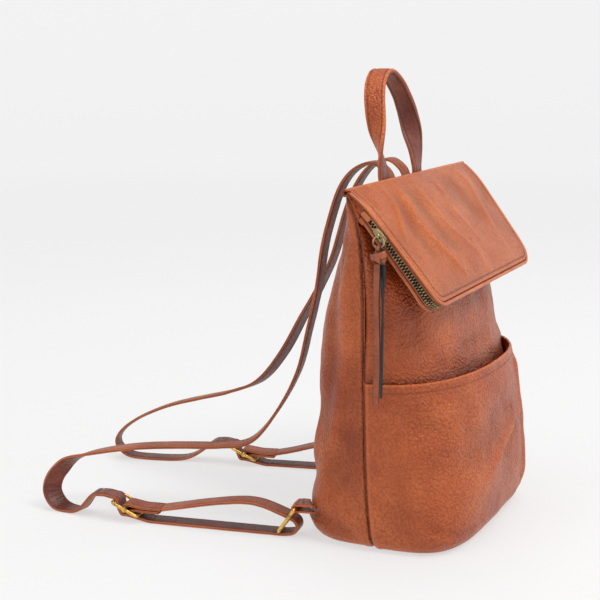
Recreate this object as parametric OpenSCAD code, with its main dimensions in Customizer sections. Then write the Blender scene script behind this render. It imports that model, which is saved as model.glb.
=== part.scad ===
// Fold-over leather backpack: soft boxed body, zip-edged flap, carry handle, two adjustable shoulder straps.
// Millimetres, +Z up. Origin on the floor under the middle of the base. The front faces -Y, the straps lie at +Y.

/* [Bag] */
// width across the bottom of the bag
base_w = 224; // [180:1:280]
// depth of the bag at its bottom, front to back
base_d = 146; // [110:1:190]
// height of the fold line above the floor
fold_h = 291; // [240:1:360]
// width of the bag along the fold line
fold_w = 294; // [240:1:360]
// thickness of the outer leather
skin_t = 2; // [1.2:0.1:2.6]
// height of the front pocket's top edge
pocket_h = 142; // [100:1:160]
// how far the front pocket's mouth stands open
pocket_gape = 9; // [5:0.5:14]

/* [Flap] */
// length of the flap from the fold line to its zip edge
flap_l = 113; // [95:1:135]
// corner radius of the flap
flap_r = 20; // [12:1:30]
// total thickness of the zip edge
edge_t = 15; // [13:0.5:19]

/* [Zip] */
// distance from one tooth to the next in a row
tooth_pitch = 2.6; // [2.4:0.1:4]
// length of the slider's body
slider_l = 13; // [10:0.5:16]
// length of the hanging leather pull
pull_l = 128; // [60:1:140]

/* [Handle] */
// width of the carry handle's strap
handle_w = 18; // [14:1:22]
// thickness of the carry handle's strap
handle_t = 4; // [3:0.5:5]
// distance between the middles of the handle's two ends
handle_span = 82; // [78:1:110]
// height of the handle above the fold line
handle_rise = 90; // [70:1:110]

/* [Shoulder straps] */
// width of the shoulder straps
strap_w = 17; // [14:0.5:19]
// thickness of the shoulder straps
strap_t = 2.6; // [1.8:0.1:3]
// wire thickness of the buckles and rings
wire_d = 3; // [2:0.1:3.2]
// inside width of the buckles and rings
buckle_w = 22; // [20:0.5:28]

/* [Hidden] */
SEAM = 0.3;
LEATHER = [0.70, 0.36, 0.22];
DARK = [0.42, 0.20, 0.14];
BRASS = [0.72, 0.60, 0.34];
CLOTH = [0.45, 0.36, 0.28];
COLS = 28;

// Body outline, by nominal height: half width, front depth, back depth, seam position and corner squareness
T_A = [[0, 101], [3, 105.5], [8, 109.5], [15, 112], [40, 114], [80, 115], [120, 117], [160, 122],
    [200, 128], [240, 136], [271, 143], [281, 145.5], [291, 147]];
T_F = [[0, 61], [3, 66], [8, 70.5], [15, 75], [40, 80], [80, 79], [120, 72], [160, 58], [200, 42.5],
    [220, 32], [240, 18.5], [250, 11.5], [262, 4], [271, 0.6]];
T_B = [[0, 58], [3, 63], [8, 68], [15, 71], [32, 68], [50, 62], [80, 60], [111, 56.5], [140, 57],
    [160, 55], [200, 48], [240, 37], [262, 25], [271, 18], [281, 9], [288, 2]];
T_S = [[0, -1], [40, 2], [80, 4], [139, 4], [200, 0], [240, -1], [262, 0], [271, 1], [281, 5], [288, 8]];
T_NF = [[0, 4.2], [40, 3.2], [140, 2.6], [240, 2.2], [291, 2]];
T_NB = [[0, 4.2], [20, 4], [40, 3.4], [200, 3.4], [262, 3], [291, 3]];
WALL_ROWS = [0, 3, 8, 15, 27, 40, 58, 78, 98, 118, 138, 158, 178, 196, 212, 228, 240, 250];
FRONT_ROWS = concat(WALL_ROWS, [258, 265.5]);
BACK_ROWS = concat(WALL_ROWS, [262, 271, 281, 287.7]);
TOP_ZONE = 110;

// Nominal height to real height and back: the top zone keeps its size, the rest stretches
function rise(n) = n > 291 - TOP_ZONE ? n + fold_h - 291 : n * (fold_h - TOP_ZONE) / (291 - TOP_ZONE);
function drop(z) = z > fold_h - TOP_ZONE ? z - fold_h + 291 : z * (291 - TOP_ZONE) / (fold_h - TOP_ZONE);
function mix(a, b, t) = a + (b - a) * t;
function smooth01(t) = t * t * (3 - 2 * t);
function half_w(n) = lookup(n, T_A) * mix(base_w / 224, fold_w / 294, min(1, n / 291));
function depth_k(n) = 1 + (base_d / 146 - 1) * max(0, 1 - n / 200);
function depth(n, side) = lookup(n, side < 0 ? T_F : T_B) * depth_k(n);
function square(n, side) = lookup(n, side < 0 ? T_NF : T_NB);
function turn(u) = u <= 0.5 ? 90 * smooth01(2 * u) : 180 - 90 * smooth01(2 - 2 * u);
function sgn(v) = v < 0 ? -1 : 1;

// A point of the body outline: n nominal height, u from the -X seam to the +X seam, side -1 front or +1 back
function rim_pt(n, u, side, inset, gap = 0) =
    let (e = 2 / square(n, side), c = cos(turn(u)), s = sin(turn(u)))
    [-(half_w(n) - inset) * sgn(c) * pow(abs(c), e),
     lookup(n, T_S) + side * (gap + (depth(n, side) - inset) * pow(max(0, s), e))];
// Where the back of the body stands at a given x
function back_y(n, x, inset = 0) =
    let (a = half_w(n) - inset, k = square(n, 1))
    lookup(n, T_S) + (depth(n, 1) - inset) * pow(max(0, 1 - pow(min(1, abs(x) / a), k)), 1 / k);
function outline(n, inset, m = COLS) = concat(
    [for (k = [0:m]) rim_pt(n, k / m, -1, inset)],
    [for (k = [m - 1:-1:1]) rim_pt(n, k / m, 1, inset)]);

// ---- thick sheets and swept strips -----------------------------------------------------------------------

// a closed sheet between two point grids of equal size
module sheet(A, B) {
    r = len(A);
    c = len(A[0]);
    m = r * c;
    quads = [for (i = [0:r - 2], j = [0:c - 2]) [i * c + j, i * c + j + 1, (i + 1) * c + j + 1, (i + 1) * c + j]];
    border = concat([for (j = [0:c - 2]) [j, j + 1]],
        [for (i = [0:r - 2]) [i * c + c - 1, (i + 1) * c + c - 1]],
        [for (j = [c - 2:-1:0]) [(r - 1) * c + j + 1, (r - 1) * c + j]],
        [for (i = [r - 2:-1:0]) [(i + 1) * c, i * c]]);
    polyhedron(points = concat([for (p = A) each p], [for (p = B) each p]),
        faces = concat(
            [for (q = quads) each [[q[0], q[1], q[2]], [q[0], q[2], q[3]]]],
            [for (q = quads) each [[m + q[2], m + q[1], m + q[0]], [m + q[3], m + q[2], m + q[0]]]],
            [for (b = border) each [[b[1], b[0], m + b[0]], [b[1], m + b[0], m + b[1]]]]));
}

// a solid through equal rings of points; closed at both ends
module loft(R) {
    r = len(R);
    c = len(R[0]);
    polyhedron(points = [for (p = R) each p],
        faces = concat(
            [for (i = [0:r - 2], j = [0:c - 1]) let (k = (j + 1) % c)
                each [[i * c + j, (i + 1) * c + j, (i + 1) * c + k], [i * c + j, (i + 1) * c + k, i * c + k]]],
            [[for (j = [0:c - 1]) j]],
            [[for (j = [c - 1:-1:0]) (r - 1) * c + j]]));
}

function unit(v) = v / norm(v);
function spline_pt(a, b, c, d, t) =
    0.5 * (2 * b + (c - a) * t + (2 * a - 5 * b + 4 * c - d) * t * t + (3 * b - a - 3 * c + d) * t * t * t);
function spline(P, m) = concat(
    [for (i = [0:len(P) - 2], k = [0:m - 1])
        spline_pt(P[max(0, i - 1)], P[i], P[i + 1], P[min(len(P) - 1, i + 2)], k / m)],
    [P[len(P) - 1]]);

// cross section of a strap with rounded edges, as [across, out] pairs
function strap_section(w, t) = let (r = t * 0.3)
    [[-w / 2, -t / 2 + r], [-w / 2 + r, -t / 2], [w / 2 - r, -t / 2], [w / 2, -t / 2 + r],
     [w / 2, t / 2 - r], [w / 2 - r, t / 2], [-w / 2 + r, t / 2], [-w / 2, t / 2 - r]];

// a strap along points [x, y, z, azimuth of its width]
module strap_sweep(P, w, t) {
    n = len(P);
    section = strap_section(w, t);
    loft([for (i = [0:n - 1])
        let (c = [P[i].x, P[i].y, P[i].z],
            a = P[max(0, i - 1)],
            b = P[min(n - 1, i + 1)],
            d = unit([b.x - a.x, b.y - a.y, b.z - a.z]),
            w0 = [cos(P[i][3]), sin(P[i][3]), 0],
            across = unit(w0 - (w0 * d) * d),
            out = cross(d, across))
        [for (s = section) c + across * s.x + out * s.y]]);
}

// a flat strip of constant thickness along a polyline, as a 2-D shape
function side_of(P, i, h) =
    let (a = P[max(0, i - 1)], b = P[min(len(P) - 1, i + 1)], p = P[i],
        d1 = i > 0 ? unit(p - a) : unit(b - p),
        d2 = i < len(P) - 1 ? unit(b - p) : d1,
        n = unit([-(d1 + d2).y, (d1 + d2).x]),
        k = max(0.5, n * [-d1.y, d1.x]))
    p + n * h / k;
module ribbon(P, t) {
    polygon(concat([for (i = [0:len(P) - 1]) side_of(P, i, t / 2)],
        [for (i = [len(P) - 1:-1:0]) side_of(P, i, -t / 2)]));
}
// the ribbon of side-view points [q, z], w wide, standing across the local x
module ribbon_x(P, t, w) {
    translate([-w / 2, 0, 0]) rotate([90, 0, 90]) linear_extrude(w) ribbon(P, t);
}
// n points of an arc about c, from angle a to angle b
function arc(c, r, a, b, n) = [for (k = [0:n]) c + r * [cos(mix(a, b, k / n)), sin(mix(a, b, k / n))]];

// ---- bag body --------------------------------------------------------------------------------------------

function body_grid(rows, side, inset, gap) =
    [for (n = rows) [for (k = [0:COLS]) let (p = rim_pt(n, k / COLS, side, inset, gap)) [p.x, p.y, rise(n)]]];

module front_panel() {
    color(LEATHER) sheet(body_grid(FRONT_ROWS, -1, 0, SEAM / 2), body_grid(FRONT_ROWS, -1, skin_t, SEAM / 2));
}
module back_panel() {
    color(LEATHER) sheet(body_grid(BACK_ROWS, 1, skin_t, SEAM / 2), body_grid(BACK_ROWS, 1, 0, SEAM / 2));
}
module base_panel() {
    color(LEATHER) linear_extrude(2.2) polygon(outline(0, skin_t + SEAM));
}
module base_board() {
    color(DARK) translate([0, 0, 2.2 + SEAM]) linear_extrude(2.5) polygon(outline(0, skin_t + 2));
}
module body_lining() {
    rows = [15, 40, 80, 120, 160, 200, 228, 246, 258];
    m2 = 20;
    c = 2 * m2;
    function slack(n) = skin_t + (n < 250 ? 2 : 0.6);
    outer = concat([[for (p = outline(0, skin_t + 2, m2)) [p.x, p.y, 5.3]]],
        [for (n = rows) [for (p = outline(n, slack(n), m2)) [p.x, p.y, rise(n)]]]);
    inner = concat([[for (p = outline(0, skin_t + 2.8, m2)) [p.x, p.y, 6.1]]],
        [for (n = rows) [for (p = outline(n, slack(n) + 0.8, m2)) [p.x, p.y, rise(n)]]]);
    r = len(outer);
    m = r * c;
    color(CLOTH) polyhedron(points = concat([for (p = outer) each p], [for (p = inner) each p]),
        faces = concat([[for (j = [0:c - 1]) j]], [[for (j = [c - 1:-1:0]) m + j]],
            [for (i = [0:r - 2], j = [0:c - 1]) let (k = (j + 1) % c)
                each [[i * c + j, (i + 1) * c + j, (i + 1) * c + k], [i * c + j, (i + 1) * c + k, i * c + k]]],
            [for (i = [0:r - 2], j = [0:c - 1]) let (k = (j + 1) % c)
                each [[m + i * c + j, m + (i + 1) * c + k, m + (i + 1) * c + j],
                    [m + i * c + j, m + i * c + k, m + (i + 1) * c + k]]],
            [for (j = [0:c - 1]) let (k = (j + 1) % c, o = (r - 1) * c)
                each [[o + j, m + o + j, m + o + k], [o + j, m + o + k, o + k]]]));
}
module front_pocket() {
    // the same rows as the panel behind it, and one more under the mouth
    rows = concat([for (n = WALL_ROWS) if (rise(n) < pocket_h - 13) rise(n)], [pocket_h - 10, pocket_h]);
    function gape(z, u) = pocket_gape * pow(sin(180 * u), 1.2) * pow(z / pocket_h, 2.2);
    function grid(inset) = [for (r = rows) [for (k = [0:COLS])
        let (u = k / COLS,
            z = r * (pocket_h - 3 + 3 * sin(180 * u)) / pocket_h,
            p = rim_pt(drop(z), u, -1, inset, SEAM / 2))
        [p.x, p.y - gape(r, u), z]]];
    color(LEATHER) sheet(grid(-SEAM - skin_t), grid(-SEAM));
}
module top_yoke() {
    rows = [256, 262, 271, 281, 284.5];
    xs = [-60, -50, -40, -30, -20, -10, 0, 10, 20, 30, 40, 50, 60];
    function grid(inset) = [for (n = rows) [for (x = xs) [x, back_y(n, x, inset), rise(n)]]];
    color(LEATHER) sheet(grid(-SEAM), grid(-SEAM - 1.8));
}

// ---- flap ------------------------------------------------------------------------------------------------

PIVOT = [9, fold_h];
ROLL_R = 3;
DIP0 = 34;
DIP_MID = 52;
DIP1 = 64;
BEND_1 = 30;
BEND_2 = flap_l - 27;
FLAP_T = 1.8;
R_1 = BEND_1 * 180 / PI / (DIP_MID - DIP0);
R_2 = (flap_l - BEND_2) * 180 / PI / (DIP1 - DIP_MID);
FLAP_W0 = fold_w / 2;
FLAP_W1 = FLAP_W0 - 14;
LEAN = atan((FLAP_W0 - FLAP_W1) / flap_l);
CORNER_S = flap_l - flap_r;
CORNER_W = flap_r / cos(LEAN) - (FLAP_W0 - tan(LEAN) * CORNER_S);
UNDER_S = 22;
ROOT_T = 11.4;

// the flap bends near the fold and near its tip, and runs straight between, where the zip slider travels
function dip(s) = s < BEND_1 ? mix(DIP0, DIP_MID, s / BEND_1)
    : s < BEND_2 ? DIP_MID : mix(DIP_MID, DIP1, (s - BEND_2) / (flap_l - BEND_2));
function bend(r, a, b) = -r * [sin(b) - sin(a), cos(a) - cos(b)];
function walk(s) = let (run = -[cos(DIP_MID), sin(DIP_MID)])
    s < BEND_1 ? bend(R_1, DIP0, dip(s))
    : bend(R_1, DIP0, DIP_MID) + run * (min(s, BEND_2) - BEND_1) + (s > BEND_2 ? bend(R_2, DIP_MID, dip(s)) : [0, 0]);
// the flap's surface: s along it from the fold, w across it, n out from its top face
function flap_yz(s, n) =
    let (a = dip(s))
    PIVOT + [-sin(DIP0), cos(DIP0)] * ROLL_R + walk(s) + n * [-sin(a), cos(a)];
function flap_pt(s, w, n) = let (p = flap_yz(s, n)) [w, p.x, p.y];
// half width of the flap at s, its edge drawn in by i
function flap_half(s, i) = s <= CORNER_S + flap_r * sin(LEAN)
    ? FLAP_W0 - tan(LEAN) * s - i / cos(LEAN)
    : -CORNER_W + sqrt(max(0, pow(flap_r - i, 2) - pow(s - CORNER_S, 2)));
function under_n(s) = -mix(ROOT_T, edge_t, (s - UNDER_S) / (flap_l - UNDER_S));
function crown(s, w, i) = 2.4 * smooth01(min(1, s / 30)) * smooth01(min(1, (flap_l - i - s) / 40))
    * max(0, 1 - pow(w / flap_half(s, i), 2));
TIP_A = [for (k = [0:7]) LEAN + (90 - LEAN) * k / 7];
function flap_rows(i, from) = concat(
    [for (k = [0:8]) mix(from, CORNER_S + (flap_r - i) * sin(LEAN), k / 8)],
    [for (k = [1:7]) CORNER_S + (flap_r - i) * sin(TIP_A[k])]);
function flap_cols(h) = [for (k = [-10:10]) h * k / 10];

module flap_top_panel() {
    i = 3.3;
    roll = [for (k = [0:8]) mix(-98, 90 + DIP0, k / 8)];
    o = PIVOT;
    outer = concat([for (a = roll) [for (w = flap_cols(FLAP_W0)) [w, o.x + ROLL_R * cos(a), o.y + ROLL_R * sin(a)]]],
        [for (s = flap_rows(i, 2)) [for (w = flap_cols(flap_half(s, i))) flap_pt(s, w, crown(s, w, i))]]);
    q = ROLL_R - FLAP_T;
    inner = concat([for (a = roll) [for (w = flap_cols(FLAP_W0)) [w, o.x + q * cos(a), o.y + q * sin(a)]]],
        [for (s = flap_rows(i, 2)) [for (w = flap_cols(flap_half(s, i))) flap_pt(s, w, crown(s, w, i) - FLAP_T)]]);
    color(LEATHER) sheet(inner, outer);
}
module fold_cord() {
    color(DARK) translate([-FLAP_W0 + 4, PIVOT.x, PIVOT.y]) rotate([0, 90, 0])
        cylinder(d = 1.8, h = 2 * FLAP_W0 - 8, $fn = 24);
}
module flap_lining() {
    i = 6;
    function grid(t) = [for (s = flap_rows(i, 12)) [for (w = flap_cols(flap_half(s, i)))
        flap_pt(s, w, crown(s, w, 3.3) - FLAP_T - SEAM - t)]];
    color(CLOTH) sheet(grid(0.8), grid(0));
}
module flap_under_panel() {
    i = 3.3;
    function grid(t) = [for (s = flap_rows(i, UNDER_S)) [for (w = flap_cols(flap_half(s, i)))
        flap_pt(s, w, under_n(s) + t)]];
    color(LEATHER) sheet(grid(0), grid(FLAP_T));
}

// U path round the flap's edge: [s, w, angle of the outward side], drawn in by i, from a start on each side
function edge_path(i, from) =
    let (end = CORNER_S + (flap_r - i) * sin(LEAN),
        near = concat([for (k = [0:9]) let (s = mix(from, end, k / 10))
                [s, -(FLAP_W0 - tan(LEAN) * s - i / cos(LEAN)), LEAN]],
            [for (a = TIP_A) [CORNER_S + (flap_r - i) * sin(a), CORNER_W - (flap_r - i) * cos(a), a]]))
    concat(near, [for (k = [1:7]) [flap_l - i, mix(CORNER_W, -CORNER_W, k / 8), 90]],
        [for (k = [len(near) - 1:-1:0]) [near[k][0], -near[k][1], 180 - near[k][2]]]);
// a bar of section points [out, up] swept along the flap's edge; up is counted from level(s)
function level(s, k) = mix(0, under_n(s), k);
module edge_bar(i, from, k, section) {
    loft([for (e = edge_path(i, from)) [for (c = section)
        flap_pt(e[0] + c.x * sin(e[2]), e[1] - c.x * cos(e[2]), level(e[0], k) + c.y)]]);
}
RIM = [[-1.5, -3.1], [0.9, -3.1], [1.5, -2.3], [1.5, -1], [0.6, -0.1], [-1, 0], [-1.5, -0.6]];
module flap_top_rim() {
    color(LEATHER) edge_bar(1.5, 3, 0, RIM);
}
module flap_under_rim() {
    color(LEATHER) edge_bar(1.5, UNDER_S, 1, [for (k = [6:-1:0]) [RIM[k].x, -RIM[k].y]]);
}
// tapes stand upright inside the edge, their inner margins held by the rims; teeth stand at the middle
ZIP_FROM = 28;
TAPE_OUT = 3.9;
TAPE_T = 0.6;
ROW_GAP = 1.2;
TOOTH_H = 1.8;
function mid_n(s) = under_n(s) / 2;
module tape(k) {
    o = TAPE_OUT;
    loft([for (e = edge_path(o, UNDER_S + 2)) [for (c = [0, 1, 2, 3])
        let (x = (c == 1 || c == 2) ? TAPE_T : 0,
            far = k < 0 ? -2.2 : under_n(e[0]) + 2.2,
            near = mid_n(e[0]) - k * ROW_GAP / 2 - k * 0.15,
            n = (k < 0 ? (c < 2 ? near : far) : (c < 2 ? far : near)))
        flap_pt(e[0] + x * sin(e[2]), e[1] - x * cos(e[2]), n)]]);
}
module zip_tape_upper() {
    color(DARK) tape(-1);
}
module zip_tape_lower() {
    color(DARK) tape(1);
}
// stations of the teeth, walked at equal steps round the edge
TEETH_I = 1.9;
SIDE_L = (CORNER_S + (flap_r - TEETH_I) * sin(LEAN) - ZIP_FROM) / cos(LEAN);
TURN_L = (flap_r - TEETH_I) * (90 - LEAN) * PI / 180;
TIP_L = -2 * CORNER_W;
ZIP_L = 2 * SIDE_L + 2 * TURN_L + TIP_L;
function station(d) =
    d > ZIP_L / 2 ? (let (e = station(ZIP_L - d)) [e[0], -e[1], 180 - e[2]])
    : d < SIDE_L ? (let (s = ZIP_FROM + d * cos(LEAN)) [s, -(FLAP_W0 - tan(LEAN) * s - TEETH_I / cos(LEAN)), LEAN])
    : d < SIDE_L + TURN_L ? (let (a = LEAN + (d - SIDE_L) / (flap_r - TEETH_I) * 180 / PI)
        [CORNER_S + (flap_r - TEETH_I) * sin(a), CORNER_W - (flap_r - TEETH_I) * cos(a), a])
    : [flap_l - TEETH_I, CORNER_W + d - SIDE_L - TURN_L, 90];
// stand on the flap's edge: x outward, y along the edge, z up from the flap's face
module at_edge(e, n) {
    p = flap_pt(e[0], e[1], n);
    a = dip(e[0]);
    fwd = [0, -cos(a), -sin(a)];
    up = [0, -sin(a), cos(a)];
    out = fwd * sin(e[2]) - [1, 0, 0] * cos(e[2]);
    along = cross(up, out);
    multmatrix([[out.x, along.x, up.x, p.x], [out.y, along.y, up.y, p.y], [out.z, along.z, up.z, p.z], [0, 0, 0, 1]])
        children();
}
N_TEETH = floor((ZIP_L - 6) / tooth_pitch);
module teeth(k) {
    shift = k > 0 ? tooth_pitch / 2 : 0;
    for (j = [0:N_TEETH - 1]) {
        e = station(3 + shift + j * tooth_pitch);
        at_edge(e, mid_n(e[0]) - k * (ROW_GAP / 2 + TOOTH_H / 2)) cube([2, 1.3, TOOTH_H], center = true);
    }
}
module zip_teeth_upper() {
    color(BRASS) teeth(-1);
}
module zip_teeth_lower() {
    color(BRASS) teeth(1);
}
module zip_end_tabs() {
    color(LEATHER) for (d = [-4, ZIP_L + 4]) {
        e = d < 0 ? [ZIP_FROM + d, -(FLAP_W0 - tan(LEAN) * (ZIP_FROM + d) - 1.6), LEAN]
            : [ZIP_FROM - 4, FLAP_W0 - tan(LEAN) * (ZIP_FROM - 4) - 1.6, 180 - LEAN];
        at_edge(e, mid_n(e[0])) cube([2.6, 8, 3.4], center = true);
    }
}

// ---- zip slider and its pull -----------------------------------------------------------------------------

PULL_D = 14;
LUG_X = 4.4;
module zip_slider() {
    e = station(PULL_D);
    color(BRASS) {
        at_edge(e, mid_n(e[0])) {
            translate([2.1, 0, 0]) cube([1.2, slider_l, 6], center = true);
            translate([-2.65, 0, 0]) cube([0.8, slider_l, 6], center = true);
            translate([-0.2, slider_l / 2 - 1.1, 0]) cube([5, 1.6, 0.7], center = true);
        }
        translate(RING_AT) difference() {
            translate([0.2, 0, 0]) cube([4, 1.8, 3.6], center = true);
            rotate([90, 0, 0]) cylinder(d = 2.2, h = 4, center = true, $fn = 32);
        }
    }
}
PULL_E = station(PULL_D);
PULL_P = flap_pt(PULL_E[0], PULL_E[1], mid_n(PULL_E[0]));
PULL_A = dip(PULL_E[0]);
RING_AT = PULL_P + LUG_X * ([0, -cos(PULL_A), -sin(PULL_A)] * sin(LEAN) - [cos(LEAN), 0, 0]);
RING_R = 4.4;
module pull_ring() {
    // passes through the slider's lug and hangs from it
    color(BRASS) translate(RING_AT + [0, 0, -RING_R]) rotate([0, 90, 0])
        rotate_extrude($fn = 48) translate([RING_R, 0]) circle(d = 1.6, $fn = 24);
}
KNOT_AT = RING_AT + [0, 0, -2 * RING_R - 6.6];
module pull_knot() {
    color(LEATHER) {
        translate(KNOT_AT) scale([0.8, 1.05, 0.85]) rotate([0, 90, 0])
            cylinder(r1 = 6, r2 = 5, h = 9, center = true, $fn = 20);
        translate(KNOT_AT + [0, 0, 6.3]) difference() {
            rotate([90, 0, 0]) cylinder(d = 5.8, h = 3, center = true, $fn = 24);
            rotate([90, 0, 0]) cylinder(d = 2.9, h = 10, center = true, $fn = 24);
        }
    }
}
module pull_tails() {
    top = KNOT_AT.z - 5.4;
    low = top - pull_l + 20;
    color(DARK) for (k = [0, 1]) {
        o = [KNOT_AT.x + (k ? 1.3 : -1), KNOT_AT.y + (k ? -2.8 : 0.6), 0];
        P = [[0, top], [k ? 0.6 : -0.5, top - 14], [k ? 0.2 : 0.5, mix(top, low, 0.45)],
            [k ? 1 : -0.2, mix(top, low, 0.8)], [0, low + (k ? 5 : 0)]];
        translate([o.x, o.y - 2.6, 0]) rotate([90, 0, 180]) translate([0, 0, -5.2]) linear_extrude(5.2)
            ribbon([for (p = spline(P, 3)) [-p.x, p.y]], 1.5);
    }
}

// ---- carry handle ----------------------------------------------------------------------------------------

HINGE_Y = 17;
HINGE_Z = fold_h - 3;
HALF_SPAN = handle_span / 2;
module handle_anchors() {
    color(LEATHER) for (k = [-1, 1]) {
        P = concat([for (n = [264, 271, 276, 281]) [back_y(n, HALF_SPAN, -SEAM - 1.8 - SEAM - handle_t / 2 - 0.3), rise(n)]],
            [[HINGE_Y + 0.2, HINGE_Z - handle_t / 2 - 0.5]]);
        translate([k * HALF_SPAN, 0, 0]) ribbon_x(P, handle_t - 0.6, handle_w);
    }
}
module handle_rolls() {
    color(LEATHER) for (k = [-1, 1]) translate([k * HALF_SPAN, HINGE_Y, HINGE_Z]) rotate([0, 90, 0])
        cylinder(d = handle_t - 0.4, h = handle_w, center = true, $fn = 24);
}
module carry_handle() {
    h = handle_rise;
    s = HALF_SPAN;
    half = [[-s, 0, handle_t / 2 + 0.5, 0], [-s - 0.5, 0.8, 10, 0], [-s - 1.5, 3, 0.3 * h, 25], [-s + 0.5, 7, 0.52 * h, 72],
        [-s + 6, 11, 0.73 * h, 90], [-s + 16, 14.5, 0.89 * h, 90], [-s + 29, 16.5, 0.985 * h, 90],
        [0, 17, 1.013 * h, 90]];
    pts = concat(half, [for (k = [6:-1:0]) [-half[k].x, half[k].y, half[k].z, 180 - half[k][3]]]);
    color(LEATHER) strap_sweep([for (p = spline(pts, 3)) [p.x, p.y + HINGE_Y, p.z + HINGE_Z, p[3]]], handle_w, handle_t);
}

// ---- shoulder straps and their buckles -------------------------------------------------------------------

// local frame of each lower strap: origin at the bag's bottom back corner, y along the strap, away from the bag
RING_X = 98 * base_w / 224;
CORNER_Y = 71 + (base_d / 146 - 1) * 68;
SPIN = [7.8, 11.5];
REACH = [148, 130];
SIDES = [-1, 1];
module lower_frame(k) {
    translate([SIDES[k] * RING_X, CORNER_Y, 0]) rotate([0, 0, SPIN[k]]) children();
}
function from_frame(k, x, y) = [SIDES[k] * RING_X + x * cos(SPIN[k]) - y * sin(SPIN[k]),
    CORNER_Y + x * sin(SPIN[k]) + y * cos(SPIN[k])];
BAR_R = wire_d / 2;
STEP = (strap_t - 2.6) + (BAR_R - 1.5);
LOW_BAR = [11.7, 4.9 + STEP];
HIGH_BAR = [-2, 25 + STEP];
TILT = 25;
BAR_GAP = 12.4 + 2 * STEP;
MID_Z = 11.7 + 2.4 * STEP;
function mid_bar(k) = [REACH[k], MID_Z];
function far_bar(k) = mid_bar(k) + BAR_GAP * [cos(TILT), sin(TILT)];
function near_bar(k) = mid_bar(k) - BAR_GAP * [cos(TILT), sin(TILT)];
WRAP = BAR_R + strap_t / 2 + 0.2;

// where the main strap passes over the far bar, under the other two and on to the floor run
function weave_path(k) = let (m = mid_bar(k), f = far_bar(k), n = near_bar(k), h = strap_t / 2)
    concat([f + [15, WRAP + 1.2], f + [9, WRAP + 1.4]],
        arc(f, WRAP, 72, 168, 5),
        [f + [-WRAP - 0.6, -5], m + [4.6, -6.4]],
        [m + [0, -BAR_R - strap_t - h - 0.75], n + [0, -BAR_R - h - 0.35]],
        [[n.x - 9, h + 0.05], [n.x - 12, h + 0.05]]);
module strap_weave(k) {
    color(DARK) lower_frame(k) ribbon_x(weave_path(k), strap_t, strap_w);
}
// the sewn end: round the middle bar, over the near bar, stitched down on the strap beneath
function fold_path(k) = let (m = mid_bar(k), n = near_bar(k))
    concat([n + [-18, WRAP + 0.3], n + [-3, WRAP + 0.3]],
        [n + [3, WRAP + 0.8]],
        arc(m, WRAP, 262, 440, 9),
        [n + [4, WRAP + strap_t + 1.6], n + [-3, WRAP + strap_t + 0.5], n + [-20, WRAP + strap_t + 0.5]]);
module strap_fold(k) {
    color(DARK) lower_frame(k) ribbon_x(fold_path(k), strap_t, strap_w);
}
// the adjusting loop: from the fold, over to the ring, round its lower bar, back along the floor to the buckle
function loop_path(k) = let (n = near_bar(k), l = LOW_BAR, h = strap_t / 2, a = n + [-20.3, WRAP + strap_t + 0.5])
    concat([a, a + [-16, 3.5], mix(a, [l.x + 20, 26 + STEP], 0.6) + [0, 2.5], [l.x + 24, 26.6 + STEP],
            [l.x + 9, 22.5 + STEP], [l.x - 5, 17.5 + STEP]],
        arc([l.x - 9, 8.7 + STEP], 6.4 + STEP / 2, 115, 250, 6),
        [[l.x - 3, h + 0.05], [l.x + 20, h + 0.05], [n.x - 12.3, h + 0.05]]);
module strap_loop(k) {
    color(DARK) lower_frame(k) ribbon_x(loop_path(k), strap_t, strap_w);
}
module wire(a, b) {
    // round wire between two points of one local frame
    d = b - a;
    translate(a) rotate([0, acos(d.z / norm(d)), atan2(d.y, d.x)]) cylinder(r = BAR_R, h = norm(d), $fn = 32);
}
module frame_wires(P, half) {
    // side wires between the bars, with round corners
    for (x = [-half, half]) {
        wire([x, P[0].x, P[0].y], [x, P[len(P) - 1].x, P[len(P) - 1].y]);
        for (p = [P[0], P[len(P) - 1]]) translate([x, p.x, p.y]) sphere(r = BAR_R * 1.1, $fn = 32);
    }
}
module bar(p, half) {
    translate([-half, p.x, p.y]) rotate([0, 90, 0]) cylinder(r = BAR_R, h = 2 * half, $fn = 32);
}
BUCKLE_HALF = buckle_w / 2 + BAR_R;
module strap_buckle(k) {
    color(BRASS) lower_frame(k) {
        frame_wires([near_bar(k), far_bar(k)], BUCKLE_HALF);
        for (p = [near_bar(k), mid_bar(k), far_bar(k)]) bar(p, BUCKLE_HALF);
        for (x = [-1, 1]) translate([x * (BUCKLE_HALF + 0.4), mid_bar(k).x, mid_bar(k).y]) rotate([0, 90, 0])
            cylinder(r = BAR_R + 0.9, h = 3.2, center = true, $fn = 24);
    }
}
module strap_ring(k) {
    color(BRASS) lower_frame(k) {
        frame_wires([LOW_BAR, HIGH_BAR], BUCKLE_HALF);
        for (p = [LOW_BAR, HIGH_BAR]) bar(p, BUCKLE_HALF);
    }
}
TAB_T = 1.8;
// the leather tab: from the bag's corner, round the ring's upper bar and back
module strap_tab(k) {
    r = BAR_R + 0.3;
    w = strap_w;
    xs = [for (j = [-4:4]) j * w / 8];
    function root(x, z) = let (p = from_frame(k, x, -12), n = drop(z))
        (back_y(n, p.x, -0.8) - CORNER_Y - x * sin(SPIN[k])) / cos(SPIN[k]);
    bar_arc = [for (a = [70:-32:-122]) a];
    // side-view points of the tab's inner (v = 0) and outer (v = 1) face for one lateral position
    function face(x, v) = let (q = r + v * TAB_T, hi = HIGH_BAR + [-1, r + v * TAB_T + 0.3],
            lo = HIGH_BAR + [-4.2, -1.4 - v * TAB_T])
        concat([[root(x, hi.y), hi.y], [mix(root(x, hi.y), hi.x, 0.5), hi.y]],
            arc(HIGH_BAR, q, 95, -105, 7),
            [[mix(root(x, lo.y), lo.x, 0.5), lo.y], [root(x, lo.y), lo.y]]);
    function grid(v) = [for (x = xs) [for (p = face(x, v)) [x, p.x, p.y]]];
    color(LEATHER) lower_frame(k) sheet(grid(0), grid(1));
}

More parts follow.
